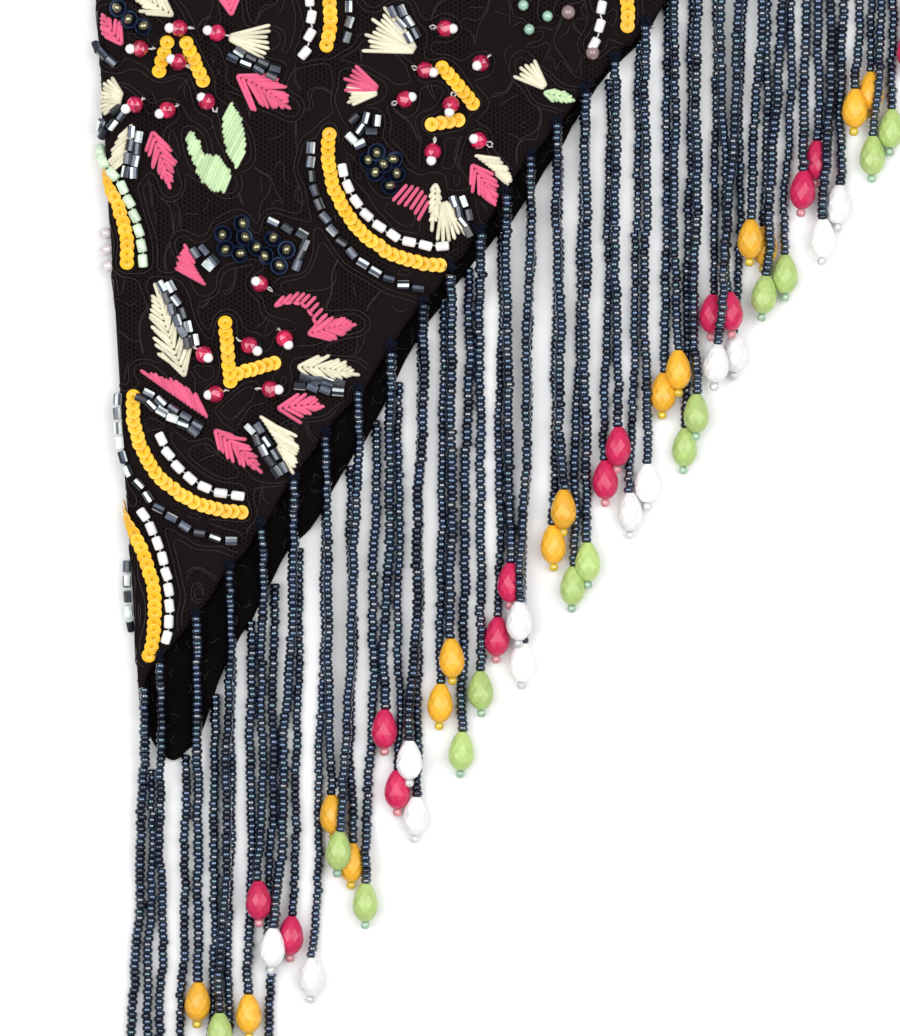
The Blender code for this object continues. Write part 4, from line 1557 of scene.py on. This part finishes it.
class BANDANA_OT_sequins(PieceOperator, bpy.types.Operator):
    """Sew on the overlapping yellow sequins"""

    bl_idname = "bandana.sequins"
    bl_label = "Sequins"
    SEED = 31

    PROFILE = ((0.14, -0.10), (0.17, 0.05), (0.62, -0.02), (0.94, 0.06), (1.0, 0.02), (0.96, -0.10))
    TILT = math.radians(13)
    LIFT = 0.62
    SLIP = 0.16
    ASKEW = 0.25
    WOBBLE = 0.07
    SHADES = (0.9, 1.05)
    GREENER = (0.95, 1.06)

    def execute(self, context):
        chance = random.Random(self.SEED)
        disc = turned_shape(self.PROFILE, 14, wide=size_of("sequin_width") / 2)
        heap = Heap()
        for across, along, heading, axes in sewn_on(sequin_places()):
            turn = heading + within(chance, self.ASKEW)
            tilt = self.TILT + within(chance, self.WOBBLE)
            ahead = swung(axes[0], axes[1], turn)
            first = swung(ahead, axes[2], tilt)
            third = math.cos(tilt) * axes[2] - math.sin(tilt) * ahead
            slip = [within(chance, self.SLIP) for _ in range(2)]
            centre = pinned(across + slip[0], along + slip[1], self.LIFT)
            shade = chance.uniform(*self.SHADES)
            shape = placed(disc, centre, np.stack((first, np.cross(third, first), third)))
            heap.add(shape, (shade, shade * chance.uniform(*self.GREENER), shade))
        dress(heap.make("sequins_yellow", foil()), "yellow_sequins")
        return {"FINISHED"}


class BANDANA_OT_tubes(PieceOperator, bpy.types.Operator):
    """Sew on the white and mint tube beads and the cut bugles"""

    bl_idname = "bandana.tubes"
    bl_label = "Tubes and bugles"
    SEED = 41

    TUBE_SIDES = 10
    BUGLE_SIDES = 8
    # How far a bead's ends are bevelled, beside its width
    BEVELS = {TUBE_SIDES: 0.12, BUGLE_SIDES: 0.05}
    LIFT = 0.16
    UNEVEN = 0.12
    # How likely a bugle's facets are to get painted shade (dark), a middle grey or a painted highlight
    # (bright), for three kinds of bugle
    PAINTED_FACET_ODDS = ((8, 3, 1), (4, 4, 2), (2, 3, 5))
    # Lit and shaded copies of the silver: the dark one is painted shade, the bright one a painted highlight
    # that runs to white
    PAINTED_FACET_LIGHT = (("dark", 0.10), ("grey", 0.55), ("bright", 5.2))
    # The thread through a row: how far and how fast it wavers, which way is aside, its lift and its radius
    WAVER = 0.28
    WAVER_PACE = 1.9
    ASIDE = 1.57
    THREAD_LIFT = 0.5
    THREAD_RADIUS = 0.2

    def lay(self, places, name, sides, vary, askew=0.16):
        """Tubes lying on the cloth along their headings, each turned a little."""
        chance = random.Random(self.SEED)
        heap = Heap()
        width = size_of(f"{name}_width")
        half, end = width / 2, size_of(f"{name}_length") / 2
        bevel = self.BEVELS[sides] * width
        profile = [(half - bevel, -end), (half, -end + bevel), (half, end - bevel), (half - bevel, end)]
        shape = turned_shape(profile, sides)
        for across, along, heading, axes in sewn_on(places):
            way = swung(axes[0], axes[1], heading + within(chance, askew))
            rolled = rolled_axes(along_axes(way, axes[2]), chance.uniform(0.0, 2 * math.pi / sides))
            centre = pinned(across, along, half + self.LIFT + chance.uniform(0.0, self.UNEVEN))
            shade = chance.uniform(1.0 - vary, 1.0 + vary)
            marks = 0
            if sides == self.BUGLE_SIDES:
                # Each facet gets the painted-shade, grey or painted-highlight copy of the silver
                looks = chance.choices((0, 1, 2), chance.choice(self.PAINTED_FACET_ODDS), k=sides)
                marks = [looks[0], *looks * (len(profile) - 1), looks[0]]
            heap.add(placed(shape, centre, rolled), shade, marks)
        return heap

    def thread(self, row):
        """The thread that shows between the tubes of a crescent, from places down it."""
        flat = []
        for k, (across, along, heading) in enumerate(row):
            waver, aside = self.WAVER * math.sin(self.WAVER_PACE * k), heading + self.ASIDE
            flat.append((across + waver * math.cos(aside), along + waver * math.sin(aside), self.THREAD_LIFT))
        return tube(drape(flat), self.THREAD_RADIUS, face_up([place[0] for place in row]), sides=5)

    def execute(self, context):
        for bead, colour, vary in (("white", "white", 0.10), ("mint", "mint_glass", 0.12)):
            heap = self.lay(arc_beads(bead, WHITE_PITCH), "tube", self.TUBE_SIDES, vary)
            look = glass(f"{bead}_tube", colour_of(colour), rough=0.2, coat=0.8, vary=0.14)
            dress(heap.make(f"tubes_{bead}", look), "pale_beads")
        threads = Heap()
        for arc in EVERY_ARC:
            row = [p for p in arc_places(arc, WHITE_PITCH / 4) if on_piece(p[0], p[1])]
            if arc["bead"] in ("white", "mint") and len(row) >= FEWEST:
                threads.add(self.thread(row))
        dress(threads.make("row_threads", floss("row_thread", (0.85, 0.84, 0.80))), "floss")
        heap = self.lay(bugle_places(), "bugle", self.BUGLE_SIDES, 0.25, 0.26)
        # The lit and shaded copies of the silver that paint shade and highlights onto the facets
        looks = [
            glass(f"silver_bugle_{name}", colour_of("silver", share), rough=0.2, coat=0.5, vary=0.3)
            for name, share in self.PAINTED_FACET_LIGHT
        ]
        dress(heap.make("bugles_silver", *looks, smooth=False), "pale_beads")
        return {"FINISHED"}


class BANDANA_OT_cups(PieceOperator, bpy.types.Operator):
    """Sew on the navy cup sequins with their gold beads, and the clear beads on the fold"""

    bl_idname = "bandana.cups"
    bl_label = "Cups"
    SEED = 51

    CUP_SIDES = 16
    BOWL = ((0.12, 0.06), (0.45, 0.0), (0.80, 0.16), (1.0, 0.38), (0.95, 0.40), (0.74, 0.26), (0.42, 0.12))
    # How many of the bowl's bands of faces are its outside, and how many its inside, which carries painted
    # shade
    OUTSIDE, INSIDE = 4, 2
    BEAD = ((0.5, -0.95), (1.1, -0.6), (1.3, 0.0), (1.1, 0.6), (0.5, 0.95))
    BALL = ((0.4, -1.35), (1.15, -0.9), (1.55, 0.0), (1.15, 0.9), (0.4, 1.35))
    TIP = 0.62
    LIFT = 0.45
    BEAD_RISE = 1.25
    SHADES = (0.75, 1.2)
    BALL_LIFT = 1.2
    # The tint of a loose bead, and its size beside those on the fold
    LOOSE_LOOKS = {"clear": ((0.46, 0.34, 0.33), 1.15), "mint": ((0.55, 1.0, 0.78), 0.88)}
    NAVY_SHINE = (0.4, 0.6, 1.0, 1.0)

    def sew_cups(self):
        chance = random.Random(self.SEED)
        radius = size_of("cup_width") / 2
        cup = turned_shape(self.BOWL, self.CUP_SIDES, radius, radius)
        # Faces marked one take the darker inside copy of the navy: painted shade in the bowl
        marks = [0] * (self.OUTSIDE * self.CUP_SIDES + 1) + [1] * (self.INSIDE * self.CUP_SIDES + 1)
        bead = turned_shape(self.BEAD, 10)
        cups, gold = Heap(), Heap()
        for home, row in motifs(CUPS):
            across, along = beside(home, row)
            if not on_piece(across - CUP_ROOM, along):
                continue
            axes = cloth_axes(across)
            lean = [within(chance, self.TIP) for _ in range(2)]
            third = unit(axes[2] + lean[0] * axes[0] + lean[1] * axes[1])
            centre = pinned(across, along, self.LIFT)
            cups.add(placed(cup, centre, along_axes(third, axes[1])), mark=marks)
            way = swung(axes[0], axes[1], chance.uniform(0.0, math.pi))
            middle = centre + third * self.BEAD_RISE
            gold.add(placed(bead, middle, along_axes(way, axes[2])), chance.uniform(*self.SHADES))
        shine = {"coat": 0.0, "vary": 0.4, "specular_tint": self.NAVY_SHINE}
        outside = glass("navy_cup", colour_of("cup"), rough=0.3, **shine)
        # Painted shade: the bowl's inside is a darker copy of the cup's colour
        inside = glass("navy_cup_inside", colour_of("cup", 0.22), rough=0.4, **shine)
        dress(cups.make("cups_navy", outside, inside), "navy_cups")
        look = glass("gold_bead", colour_of("gold"), rough=0.16, coat=0.8, vary=0.3, metallic=0.85)
        dress(gold.make("beads_gold", look), "navy_cups")

    def sew_balls(self):
        ball = turned_shape(self.BALL, 12)
        heap = Heap()
        for across, along, heading in arc_beads("clear", CLEAR_PITCH):
            axes = cloth_axes(across)
            centre = pinned(across, along, self.BALL_LIFT)
            heap.add(placed(ball, centre, along_axes(swung(axes[0], axes[1], heading), axes[2])))
        for row in LOOSE:
            axes = cloth_axes(row["across"])
            centre = pinned(row["across"], row["along"], self.BALL_LIFT)
            tint, size = self.LOOSE_LOOKS[row["bead"]]
            heap.add(placed(ball, centre, axes[[2, 1, 0]], size), tint)
        clear = colour_of("clear")
        look = glass("clear_bead", clear, rough=0.06, coat=1.0, vary=0.1, transmission_weight=0.4)
        dress(heap.make("beads_clear", look), "pale_beads")

    def execute(self, context):
        self.sew_cups()
        self.sew_balls()
        return {"FINISHED"}


class BANDANA_OT_crystals(PieceOperator, bpy.types.Operator):
    """Sew on the fuchsia crystals, each with a pearl and a loop of thread"""

    bl_idname = "bandana.crystals"
    bl_label = "Crystals and pearls"
    SEED = 61

    CUT = ((0.35, -0.92), (0.85, -0.52), (1.0, 0.0), (0.85, 0.52), (0.35, 0.92))
    ROUND = ((0.30, -0.95), (0.80, -0.60), (1.0, 0.0), (0.80, 0.60), (0.30, 0.95))
    SIT = 0.92
    SHADES = (0.7, 1.25)
    # Where the pearl lies: past the crystal's edge, beside its own half width, and higher where it is near
    PEARL_OUT, PEARL_SIT = 0.2, 0.55
    PEARL_NEAR, PEARL_RAISED = 1.2, 0.5
    # A loop of thread behind the crystal: shares of its half width, of the loop's reach and bow, and places
    LOOP = table(
        "half reach bow aside up",
        (0.75, 0.0, 0.0, 0.0, -0.3),
        (1.0, 0.5, 1.0, 0.0, 0.1),
        (1.0, 1.0, 0.6, 0.0, -1.1),
        (1.0, 0.6, 0.0, -0.4, -1.5),
    )
    LOOPS = 2
    LOOP_BOW = 0.8
    LOOP_REACHES = (0.6, 1.5)
    THREAD_RADIUS = 0.17

    def loop(self, centre, half, way, up, chance):
        bow, reach = within(chance, self.LOOP_BOW), chance.uniform(*self.LOOP_REACHES)
        path = []
        for row in self.LOOP:
            back = half * row["half"] + reach * row["reach"]
            aside = bow * row["bow"] + row["aside"]
            path.append(centre - way * back + np.cross(up, way) * aside + up * row["up"])
        return tube(path, self.THREAD_RADIUS, up, sides=5)

    def execute(self, context):
        chance = random.Random(self.SEED)
        half, pearl_half = size_of("crystal_width") / 2, size_of("pearl_width") / 2
        crystal = turned_shape(self.CUT, 9, half, half, shift=0.5)
        pearl = turned_shape(self.ROUND, 14, pearl_half, pearl_half)
        crystals, pearls, loops = Heap(), Heap(), Heap()
        for home, row in motifs(CRYSTALS):
            across, along = beside(home, row)
            if not on_piece(across, along):
                continue
            axes = cloth_axes(across)
            up = axes[2]
            way = unit(row["pearl_right"] * axes[0] + row["pearl_up"] * axes[1])
            laid = along_axes(way, up)
            centre = pinned(across, along, half * self.SIT)
            crystals.add(placed(crystal, centre, laid), chance.uniform(*self.SHADES))
            aside = np.hypot(row["pearl_right"], row["pearl_up"])
            lift = pearl_half * self.PEARL_SIT + self.PEARL_RAISED * (aside < self.PEARL_NEAR)
            pearls.add(placed(pearl, centre + way * (aside + self.PEARL_OUT) + up * lift, laid))
            for _ in range(self.LOOPS):
                loops.add(self.loop(centre, half, way, up, chance))
        pink_glass = colour_of("crystal")
        look = glass("fuchsia_crystal", pink_glass, rough=0.05, coat=1.0, vary=0.45, transmission_weight=0.25)
        dress(crystals.make("crystals_fuchsia", look, smooth=False), "fringe_drops")
        look = glass("pearl", colour_of("white"), rough=0.18, coat=0.9, vary=0.05)
        dress(pearls.make("pearls_white", look), "pale_beads")
        dress(loops.make("loops_white", floss("white_thread", (0.8, 0.76, 0.72))), "floss")
        return {"FINISHED"}


# The fringe


# How far inside its hem a strand's first bead sits, and how it comes down from the lace
FRONT_START = -0.2
BACK_START = -0.7
LEAD_STEP = 0.25
LEAD_LIMIT = 16.0
ROOT_FLAT = 0.75
ROOT_SLOPE = 0.8
DROP_SLOPE = 0.35
BEAD_LIFT = 0.16
LACE_CLEAR = 0.1
NEAR = 0.4
SWAYS = table("reach length", (0.22, 47.0), (0.12, 17.0))


def lead_length(strand):
    """How far straight above its own line a strand begins, at its hem or a little inside it."""
    inside = FRONT_START if strand["upper"] else BACK_START
    for rise in np.arange(LEAD_STEP, LEAD_LIMIT, LEAD_STEP):
        out, along = unturned(strand["x"][0], strand["y"][0] + rise)
        if along > hem(strand["sign"] * across_at(out)) + HEM_CLEAR_ALONG * inside:
            return rise
    return LEAD_STEP


def strand_path(strand):
    """A strand's centreline in the frame's millimetres, from the place where its first bead sits."""
    path = np.stack((strand["x"], strand["y"], strand["z"]), axis=1) - ORIGIN
    length = lead_length(strand)
    lead = np.linspace(length, STEP / 2, max(2, round(length / STEP)))
    extra = np.tile(path[0], (len(lead), 1))
    extra[:, 1] += lead
    path = np.concatenate((extra, path))
    low = path[-1, 2] - strand["z"][-1]
    rest = float(np.interp(drop_marks(strand)[1], strand["down"], strand["z"])) + low
    above = np.maximum(0.0, path[:, 1] - path[-1, 1] - DROP_ROWS[-1]["down"])
    path[:, 2] = np.maximum(path[:, 2], rest - DROP_SLOPE * above) + BEAD_LIFT
    if strand["upper"]:
        top_of_lace = 2 * FOLD_RADIUS + size_of("bead_width") / 2 + LACE_CLEAR
        past = path[0, 1] - path[:, 1] - length * ROOT_FLAT
        path[:, 2] = np.maximum(path[:, 2], top_of_lace - ROOT_SLOPE * np.maximum(0.0, past))
    return path


def at_distance(path, distance):
    """A place on a path and the way it runs there."""
    ends = np.array((distance - NEAR, distance, distance + NEAR))
    downs = distances(path)
    before, here, after = np.stack([np.interp(ends, downs, path[:, k]) for k in range(3)], axis=1)
    return here, unit(after - before)


def drop_name(strand):
    """The colour of a strand's drop: they come round in fours down each hem."""
    return ("yellow", "green", "fuchsia", "white")[(strand["number"] + 1) % 4]


class BANDANA_OT_fringe(PieceOperator, bpy.types.Operator):
    """String the seed beads of both fringes"""

    bl_idname = "bandana.fringe"
    bl_label = "Fringe beads"
    SEED = 71

    # The lustre of a bead, and how common each is in a dull strand and in a bright one
    LUSTRES = table(
        "lustre tint ior dull bright",
        ("blue", (0.46, 0.66, 1.0), 2.4, 4, 8),
        ("teal", (0.50, 0.82, 1.0), 2.3, 1, 3),
        ("silver", (0.80, 0.88, 1.0), 2.6, 1, 3),
        ("plain", (0.56, 0.68, 1.0), 1.6, 6, 2),
    )

    # A bead's profile: shares of its radius and of its pitch
    PROFILE = ((0.74, -0.50), (1.0, -0.22), (1.0, 0.22), (0.74, 0.50))
    SIDES = 8
    STRAIGHT = 12.0
    STRAY = 0.11
    ASKEW = 0.15
    WIDTHS = (0.88, 1.06)
    UNEVEN = (0.95, 1.05)
    SHADES, REDDER, BLUER = (0.5, 1.6), (0.8, 1.15), (0.9, 1.2)

    def string(self, strand, bead, pitch, heap, chance):
        """Thread beads up one strand from its drop."""
        path = strand_path(strand)
        distance = float(step_lengths(path).sum()) - DROP_ROWS[-1]["down"] - pitch / 2
        sway = [chance.uniform(0.0, 2 * math.pi) for _ in SWAYS]
        looks = chance.choice(("dull", "bright", "bright"))
        common = [row[looks] for row in self.LUSTRES]
        width = chance.uniform(*self.WIDTHS)
        while distance > 0.0:
            here, way = at_distance(path, distance)
            for row, phase in zip(SWAYS, sway):
                turn = 2 * math.pi * distance / row["length"] + phase
                here[0] += row["reach"] * math.sin(turn) * min(1.0, distance / self.STRAIGHT)
            way = unit(way + np.array([within(chance, self.ASKEW) for _ in range(3)]))
            here[0] += chance.gauss(0.0, self.STRAY)
            size = np.array((width, width, 0.0)) * chance.uniform(*self.UNEVEN) + (0.0, 0.0, 1.0)
            lustre = chance.choices(range(len(common)), common)[0]
            shade = chance.uniform(*self.SHADES)
            tint = (shade * chance.uniform(*self.REDDER), shade, shade * chance.uniform(*self.BLUER))
            heap.add(placed(bead, here, along_axes(way, (0, 0, 1)), size), tint, lustre)
            distance -= pitch * chance.uniform(*self.UNEVEN)

    def execute(self, context):
        chance = random.Random(self.SEED)
        pitch = size_of("bead_pitch")
        bead = turned_shape(self.PROFILE, self.SIDES, size_of("bead_width") / 2, pitch)
        heaps = {True: Heap(), False: Heap()}
        for strand in STRANDS:
            self.string(strand, bead, pitch, heaps[strand["upper"]], chance)
        for upper, name in ((True, "fringe_front"), (False, "fringe_back")):
            looks = [
                glass(
                    f"{name}_{row['lustre']}", colour_of("navy"), rough=0.11, coat=0.6, vary=0.5,
                    specular_tint=(*row["tint"], 1.0), ior=row["ior"], coat_roughness=0.06,
                )
                for row in self.LUSTRES
            ]
            dress(heaps[upper].make(f"{name}_beads", *looks), "navy_beads", name)
        return {"FINISHED"}


class BANDANA_OT_drops(PieceOperator, bpy.types.Operator):
    """Hang a faceted glass drop and an end bead on each strand"""

    bl_idname = "bandana.drops"
    bl_label = "Drops"
    SEED = 81

    # A drop's cut: shares of half its width and of its length from its root
    CUT = (
        (0.34, 0.0), (0.60, 0.12), (0.84, 0.30), (0.98, 0.49),
        (1.0, 0.64), (0.88, 0.80), (0.62, 0.93), (0.36, 1.0),
    )
    END_BEAD = ((0.45, -1.0), (0.95, -0.65), (1.1, 0.0), (0.95, 0.65), (0.45, 1.0))
    TIP = 2.0
    END_PAST = 0.9
    END_SINK = 0.9
    # The colour of each drop's end bead
    END_COLOURS = {
        "yellow": (0.86, 0.60, 0.05),
        "green": (0.42, 0.62, 0.45),
        "fuchsia": (0.78, 0.32, 0.36),
        "white": (0.78, 0.80, 0.80),
    }
    DEEP_YELLOW = (0.90, 0.45, 0.03)
    SHADES = (0.88, 1.08)

    def execute(self, context):
        chance = random.Random(self.SEED)
        half, length = size_of("drop_width") / 2, size_of("drop_length")
        drop = turned_shape(self.CUT, 10, half, length, shift=0.5)
        ends = turned_shape(self.END_BEAD, 10)
        drops, beads = ({name: Heap() for name in self.END_COLOURS} for _ in range(2))
        for strand in STRANDS:
            name = drop_name(strand)
            path = strand_path(strand)
            whole = float(step_lengths(path).sum())
            start, _ = at_distance(path, whole - DROP_ROWS[-1]["down"])
            low_end, _ = at_distance(path, whole - self.TIP)
            way = unit((low_end - start) * (1.0, 1.0, 0.0))
            axes = along_axes(way, (0, 0, 1))
            first = swung(axes[0], axes[1], chance.uniform(0.0, 2 * math.pi))
            own = np.stack((first, np.cross(way, first), way))
            drops[name].add(placed(drop, start, own), chance.uniform(*self.SHADES))
            below = start + way * (length + self.END_PAST) - (0.0, 0.0, self.END_SINK)
            beads[name].add(placed(ends, below, axes))
        for name, end_colour in self.END_COLOURS.items():
            colour = self.DEEP_YELLOW if name == "yellow" else colour_of(name)
            look = glass(f"{name}_drop", colour, 0.36, 0.22, 0.01, 0.10, coat_roughness=0.22)
            dress(drops[name].make(f"drops_{name}", look, smooth=False), "fringe_drops")
            look = glass(f"{name}_end_bead", end_colour, rough=0.08, coat=1.0, transmission_weight=0.3)
            dress(beads[name].make(f"ends_{name}", look), "fringe_drops")
        return {"FINISHED"}


class BANDANA_OT_knots(PieceOperator, bpy.types.Operator):
    """Tie off the navy thread in a small knot at the head of each front strand"""

    bl_idname = "bandana.knots"
    bl_label = "Knots"
    SEED = 91

    CURLS = 34
    CURL_STEPS = 4
    CURL_TURN = 1.2
    CURL_REACHES = (0.18, 0.40)
    CURL_RISE = 0.22
    HEAD = (-0.1, 1.2, -0.6)
    SPREAD = (0.42, 0.62, 0.15)
    LOWEST = 2 * FOLD_RADIUS + 0.15
    THREAD_RADIUS = 0.13
    THREAD = (0.004, 0.008, 0.028)

    def execute(self, context):
        chance = random.Random(self.SEED)
        heap = Heap()
        heads = [strand_path(strand)[0] + self.HEAD for strand in STRANDS if strand["upper"]]
        for head in (head for head in heads for _ in range(self.CURLS)):
            path = [head + [chance.gauss(0.0, s) for s in self.SPREAD]]
            way = chance.uniform(0.0, 2 * math.pi)
            for _ in range(self.CURL_STEPS):
                way += within(chance, self.CURL_TURN)
                step = chance.uniform(*self.CURL_REACHES)
                rise = within(chance, self.CURL_RISE)
                path.append(path[-1] + (math.cos(way) * step, math.sin(way) * step, rise))
            path = np.array(path)
            path[:, 2] = np.maximum(path[:, 2], self.LOWEST)
            heap.add(tube(path, self.THREAD_RADIUS, (0, 0, 1), sides=3))
        thread = floss("navy_thread", self.THREAD, sheen_weight=0.0, specular_ior_level=0.2)
        dress(heap.make("knots_navy", thread), "floss")
        return {"FINISHED"}


class BANDANA_OT_lint(PieceOperator, bpy.types.Operator):
    """Scatter the lint that clings to the lining where it shows between the two hems"""

    bl_idname = "bandana.lint"
    bl_label = "Lint"
    SEED = 95

    FIBRES = 130
    STEPS = 6
    BEND = 0.8
    HEM_CLEAR = 1.0
    FIBRE_CLEAR = 0.6
    FAR = 150.0
    STEP = 0.38
    FIBRE_RADIUS = 0.055
    ABOVE = 0.12
    FIBRE = (0.016, 0.013, 0.012)

    def execute(self, context):
        chance = random.Random(self.SEED)
        heap = Heap()
        for _ in range(self.FIBRES):
            across = -chance.uniform(QUARTER, self.FAR)
            low, high = (hem(a) + self.HEM_CLEAR for a in (across, -across))
            along = chance.uniform(low, max(low, high))
            way, path = chance.uniform(0.0, 2 * math.pi), [(across, along, -LINING_DEPTHS[1] - self.ABOVE)]
            for _ in range(self.STEPS):
                way += within(chance, self.BEND)
                a, b, c = path[-1]
                path.append((a + self.STEP * math.cos(way), b + self.STEP * math.sin(way), c))
            if all(hem(a) + self.FIBRE_CLEAR < b for a, b, _ in path):
                heap.add(tube(drape(path), self.FIBRE_RADIUS, (0, 0, 1), sides=3))
        dress(heap.make("lint", floss("lint_fibre", self.FIBRE)), "floss")
        return {"FINISHED"}


class BANDANA_OT_studio(PieceOperator, bpy.types.Operator):
    """Set the plain floor, the soft lights and the camera straight above"""

    bl_idname = "bandana.studio"
    bl_label = "Studio"

    FLOOR_HALF = 3.0
    FLOOR_SINK = 0.0001
    LIGHT_SIZE = 1.1
    ASIDE = 0.62
    BEHIND = 0.12
    HEIGHT = 1.2

    def light(self, name, place, power):
        lamp = bpy.data.lights.new(name, "AREA")
        lamp.shape = "SQUARE"
        lamp.size = self.LIGHT_SIZE
        lamp.energy = power
        obj = in_scene(name, lamp)
        obj.location = place
        aim = Vector((*bpy.context.scene.bandana_studio.view_middle, 0.0)) - Vector(place)
        obj.rotation_euler = aim.to_track_quat("-Z", "Y").to_euler()

    def execute(self, context):
        studio = context.scene.bandana_studio
        half = self.FLOOR_HALF
        mesh = bpy.data.meshes.new("floor")
        corners = [(-half, -half, 0.0), (half, -half, 0.0), (half, half, 0.0), (-half, half, 0.0)]
        mesh.from_pydata(corners, [], [(0, 1, 2, 3)])
        mesh.materials.append(pale_surface())
        floor = in_scene("floor", mesh)
        floor.location.z = -self.FLOOR_SINK
        floor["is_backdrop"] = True
        middle = studio.view_middle
        for name, aside in (("left", -self.ASIDE), ("right", self.ASIDE)):
            self.light(name, (middle[0] + aside, middle[1] + self.BEHIND, self.HEIGHT), studio.power)
        world = bpy.data.worlds.new("air")
        world.use_nodes = True
        air = world.node_tree.nodes["Background"]
        air.inputs["Color"].default_value = (1.0, 1.0, 1.0, 1.0)
        air.inputs["Strength"].default_value = studio.air
        context.scene.world = world
        lens = bpy.data.cameras.new("camera")
        lens.sensor_fit = "HORIZONTAL"
        lens.lens = lens.sensor_width * studio.camera_height / studio.view_width
        camera = in_scene("camera", lens)
        camera.location = (*middle, studio.camera_height)
        context.scene.camera = camera
        context.scene.view_settings.view_transform = "Standard"
        return {"FINISHED"}


class BANDANA_PT_panel(bpy.types.Panel):
    """Lists the bandana's pieces and their sizes and colours."""

    bl_idname = "BANDANA_PT_panel"
    bl_label = "Bandana"
    bl_space_type = "VIEW_3D"
    bl_region_type = "UI"
    bl_category = "Bandana"

    def draw(self, context):
        for operator in OPERATORS:
            self.layout.operator(operator.bl_idname)
        scene = context.scene
        for group in (scene.bandana_sizes, scene.bandana_colours, scene.bandana_studio):
            box = self.layout.box()
            for name in group.__annotations__:
                box.prop(group, name)


GROUPS = (
    ("bandana_sizes", BandanaSizes),
    ("bandana_colours", BandanaColours),
    ("bandana_studio", BandanaStudio),
)
OPERATORS = (
    BANDANA_OT_studio,
    BANDANA_OT_lining,
    BANDANA_OT_lace,
    BANDANA_OT_cords,
    BANDANA_OT_leaves,
    BANDANA_OT_sequins,
    BANDANA_OT_tubes,
    BANDANA_OT_cups,
    BANDANA_OT_crystals,
    BANDANA_OT_fringe,
    BANDANA_OT_drops,
    BANDANA_OT_knots,
    BANDANA_OT_lint,
)


def register():
    for name, group in GROUPS:
        bpy.utils.register_class(group)
        setattr(bpy.types.Scene, name, bpy.props.PointerProperty(type=group))
    for operator in OPERATORS:
        bpy.utils.register_class(operator)
    bpy.utils.register_class(BANDANA_PT_panel)


def unregister():
    bpy.utils.unregister_class(BANDANA_PT_panel)
    for operator in reversed(OPERATORS):
        bpy.utils.unregister_class(operator)
    for name, group in reversed(GROUPS):
        delattr(bpy.types.Scene, name)
        bpy.utils.unregister_class(group)


def main():
    register()
    bpy.ops.bandana.studio()
    bpy.ops.bandana.lining()
    bpy.ops.bandana.lace()
    bpy.ops.bandana.cords()
    bpy.ops.bandana.leaves()
    bpy.ops.bandana.sequins()
    bpy.ops.bandana.tubes()
    bpy.ops.bandana.cups()
    bpy.ops.bandana.crystals()
    bpy.ops.bandana.fringe()
    bpy.ops.bandana.drops()
    bpy.ops.bandana.knots()
    bpy.ops.bandana.lint()
    boxes = {"cad": CAD_BOX, "visual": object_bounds()}
    plain = {name: [list(corner) for corner in box] for name, box in boxes.items()}


if __name__ == "__main__":
    main()
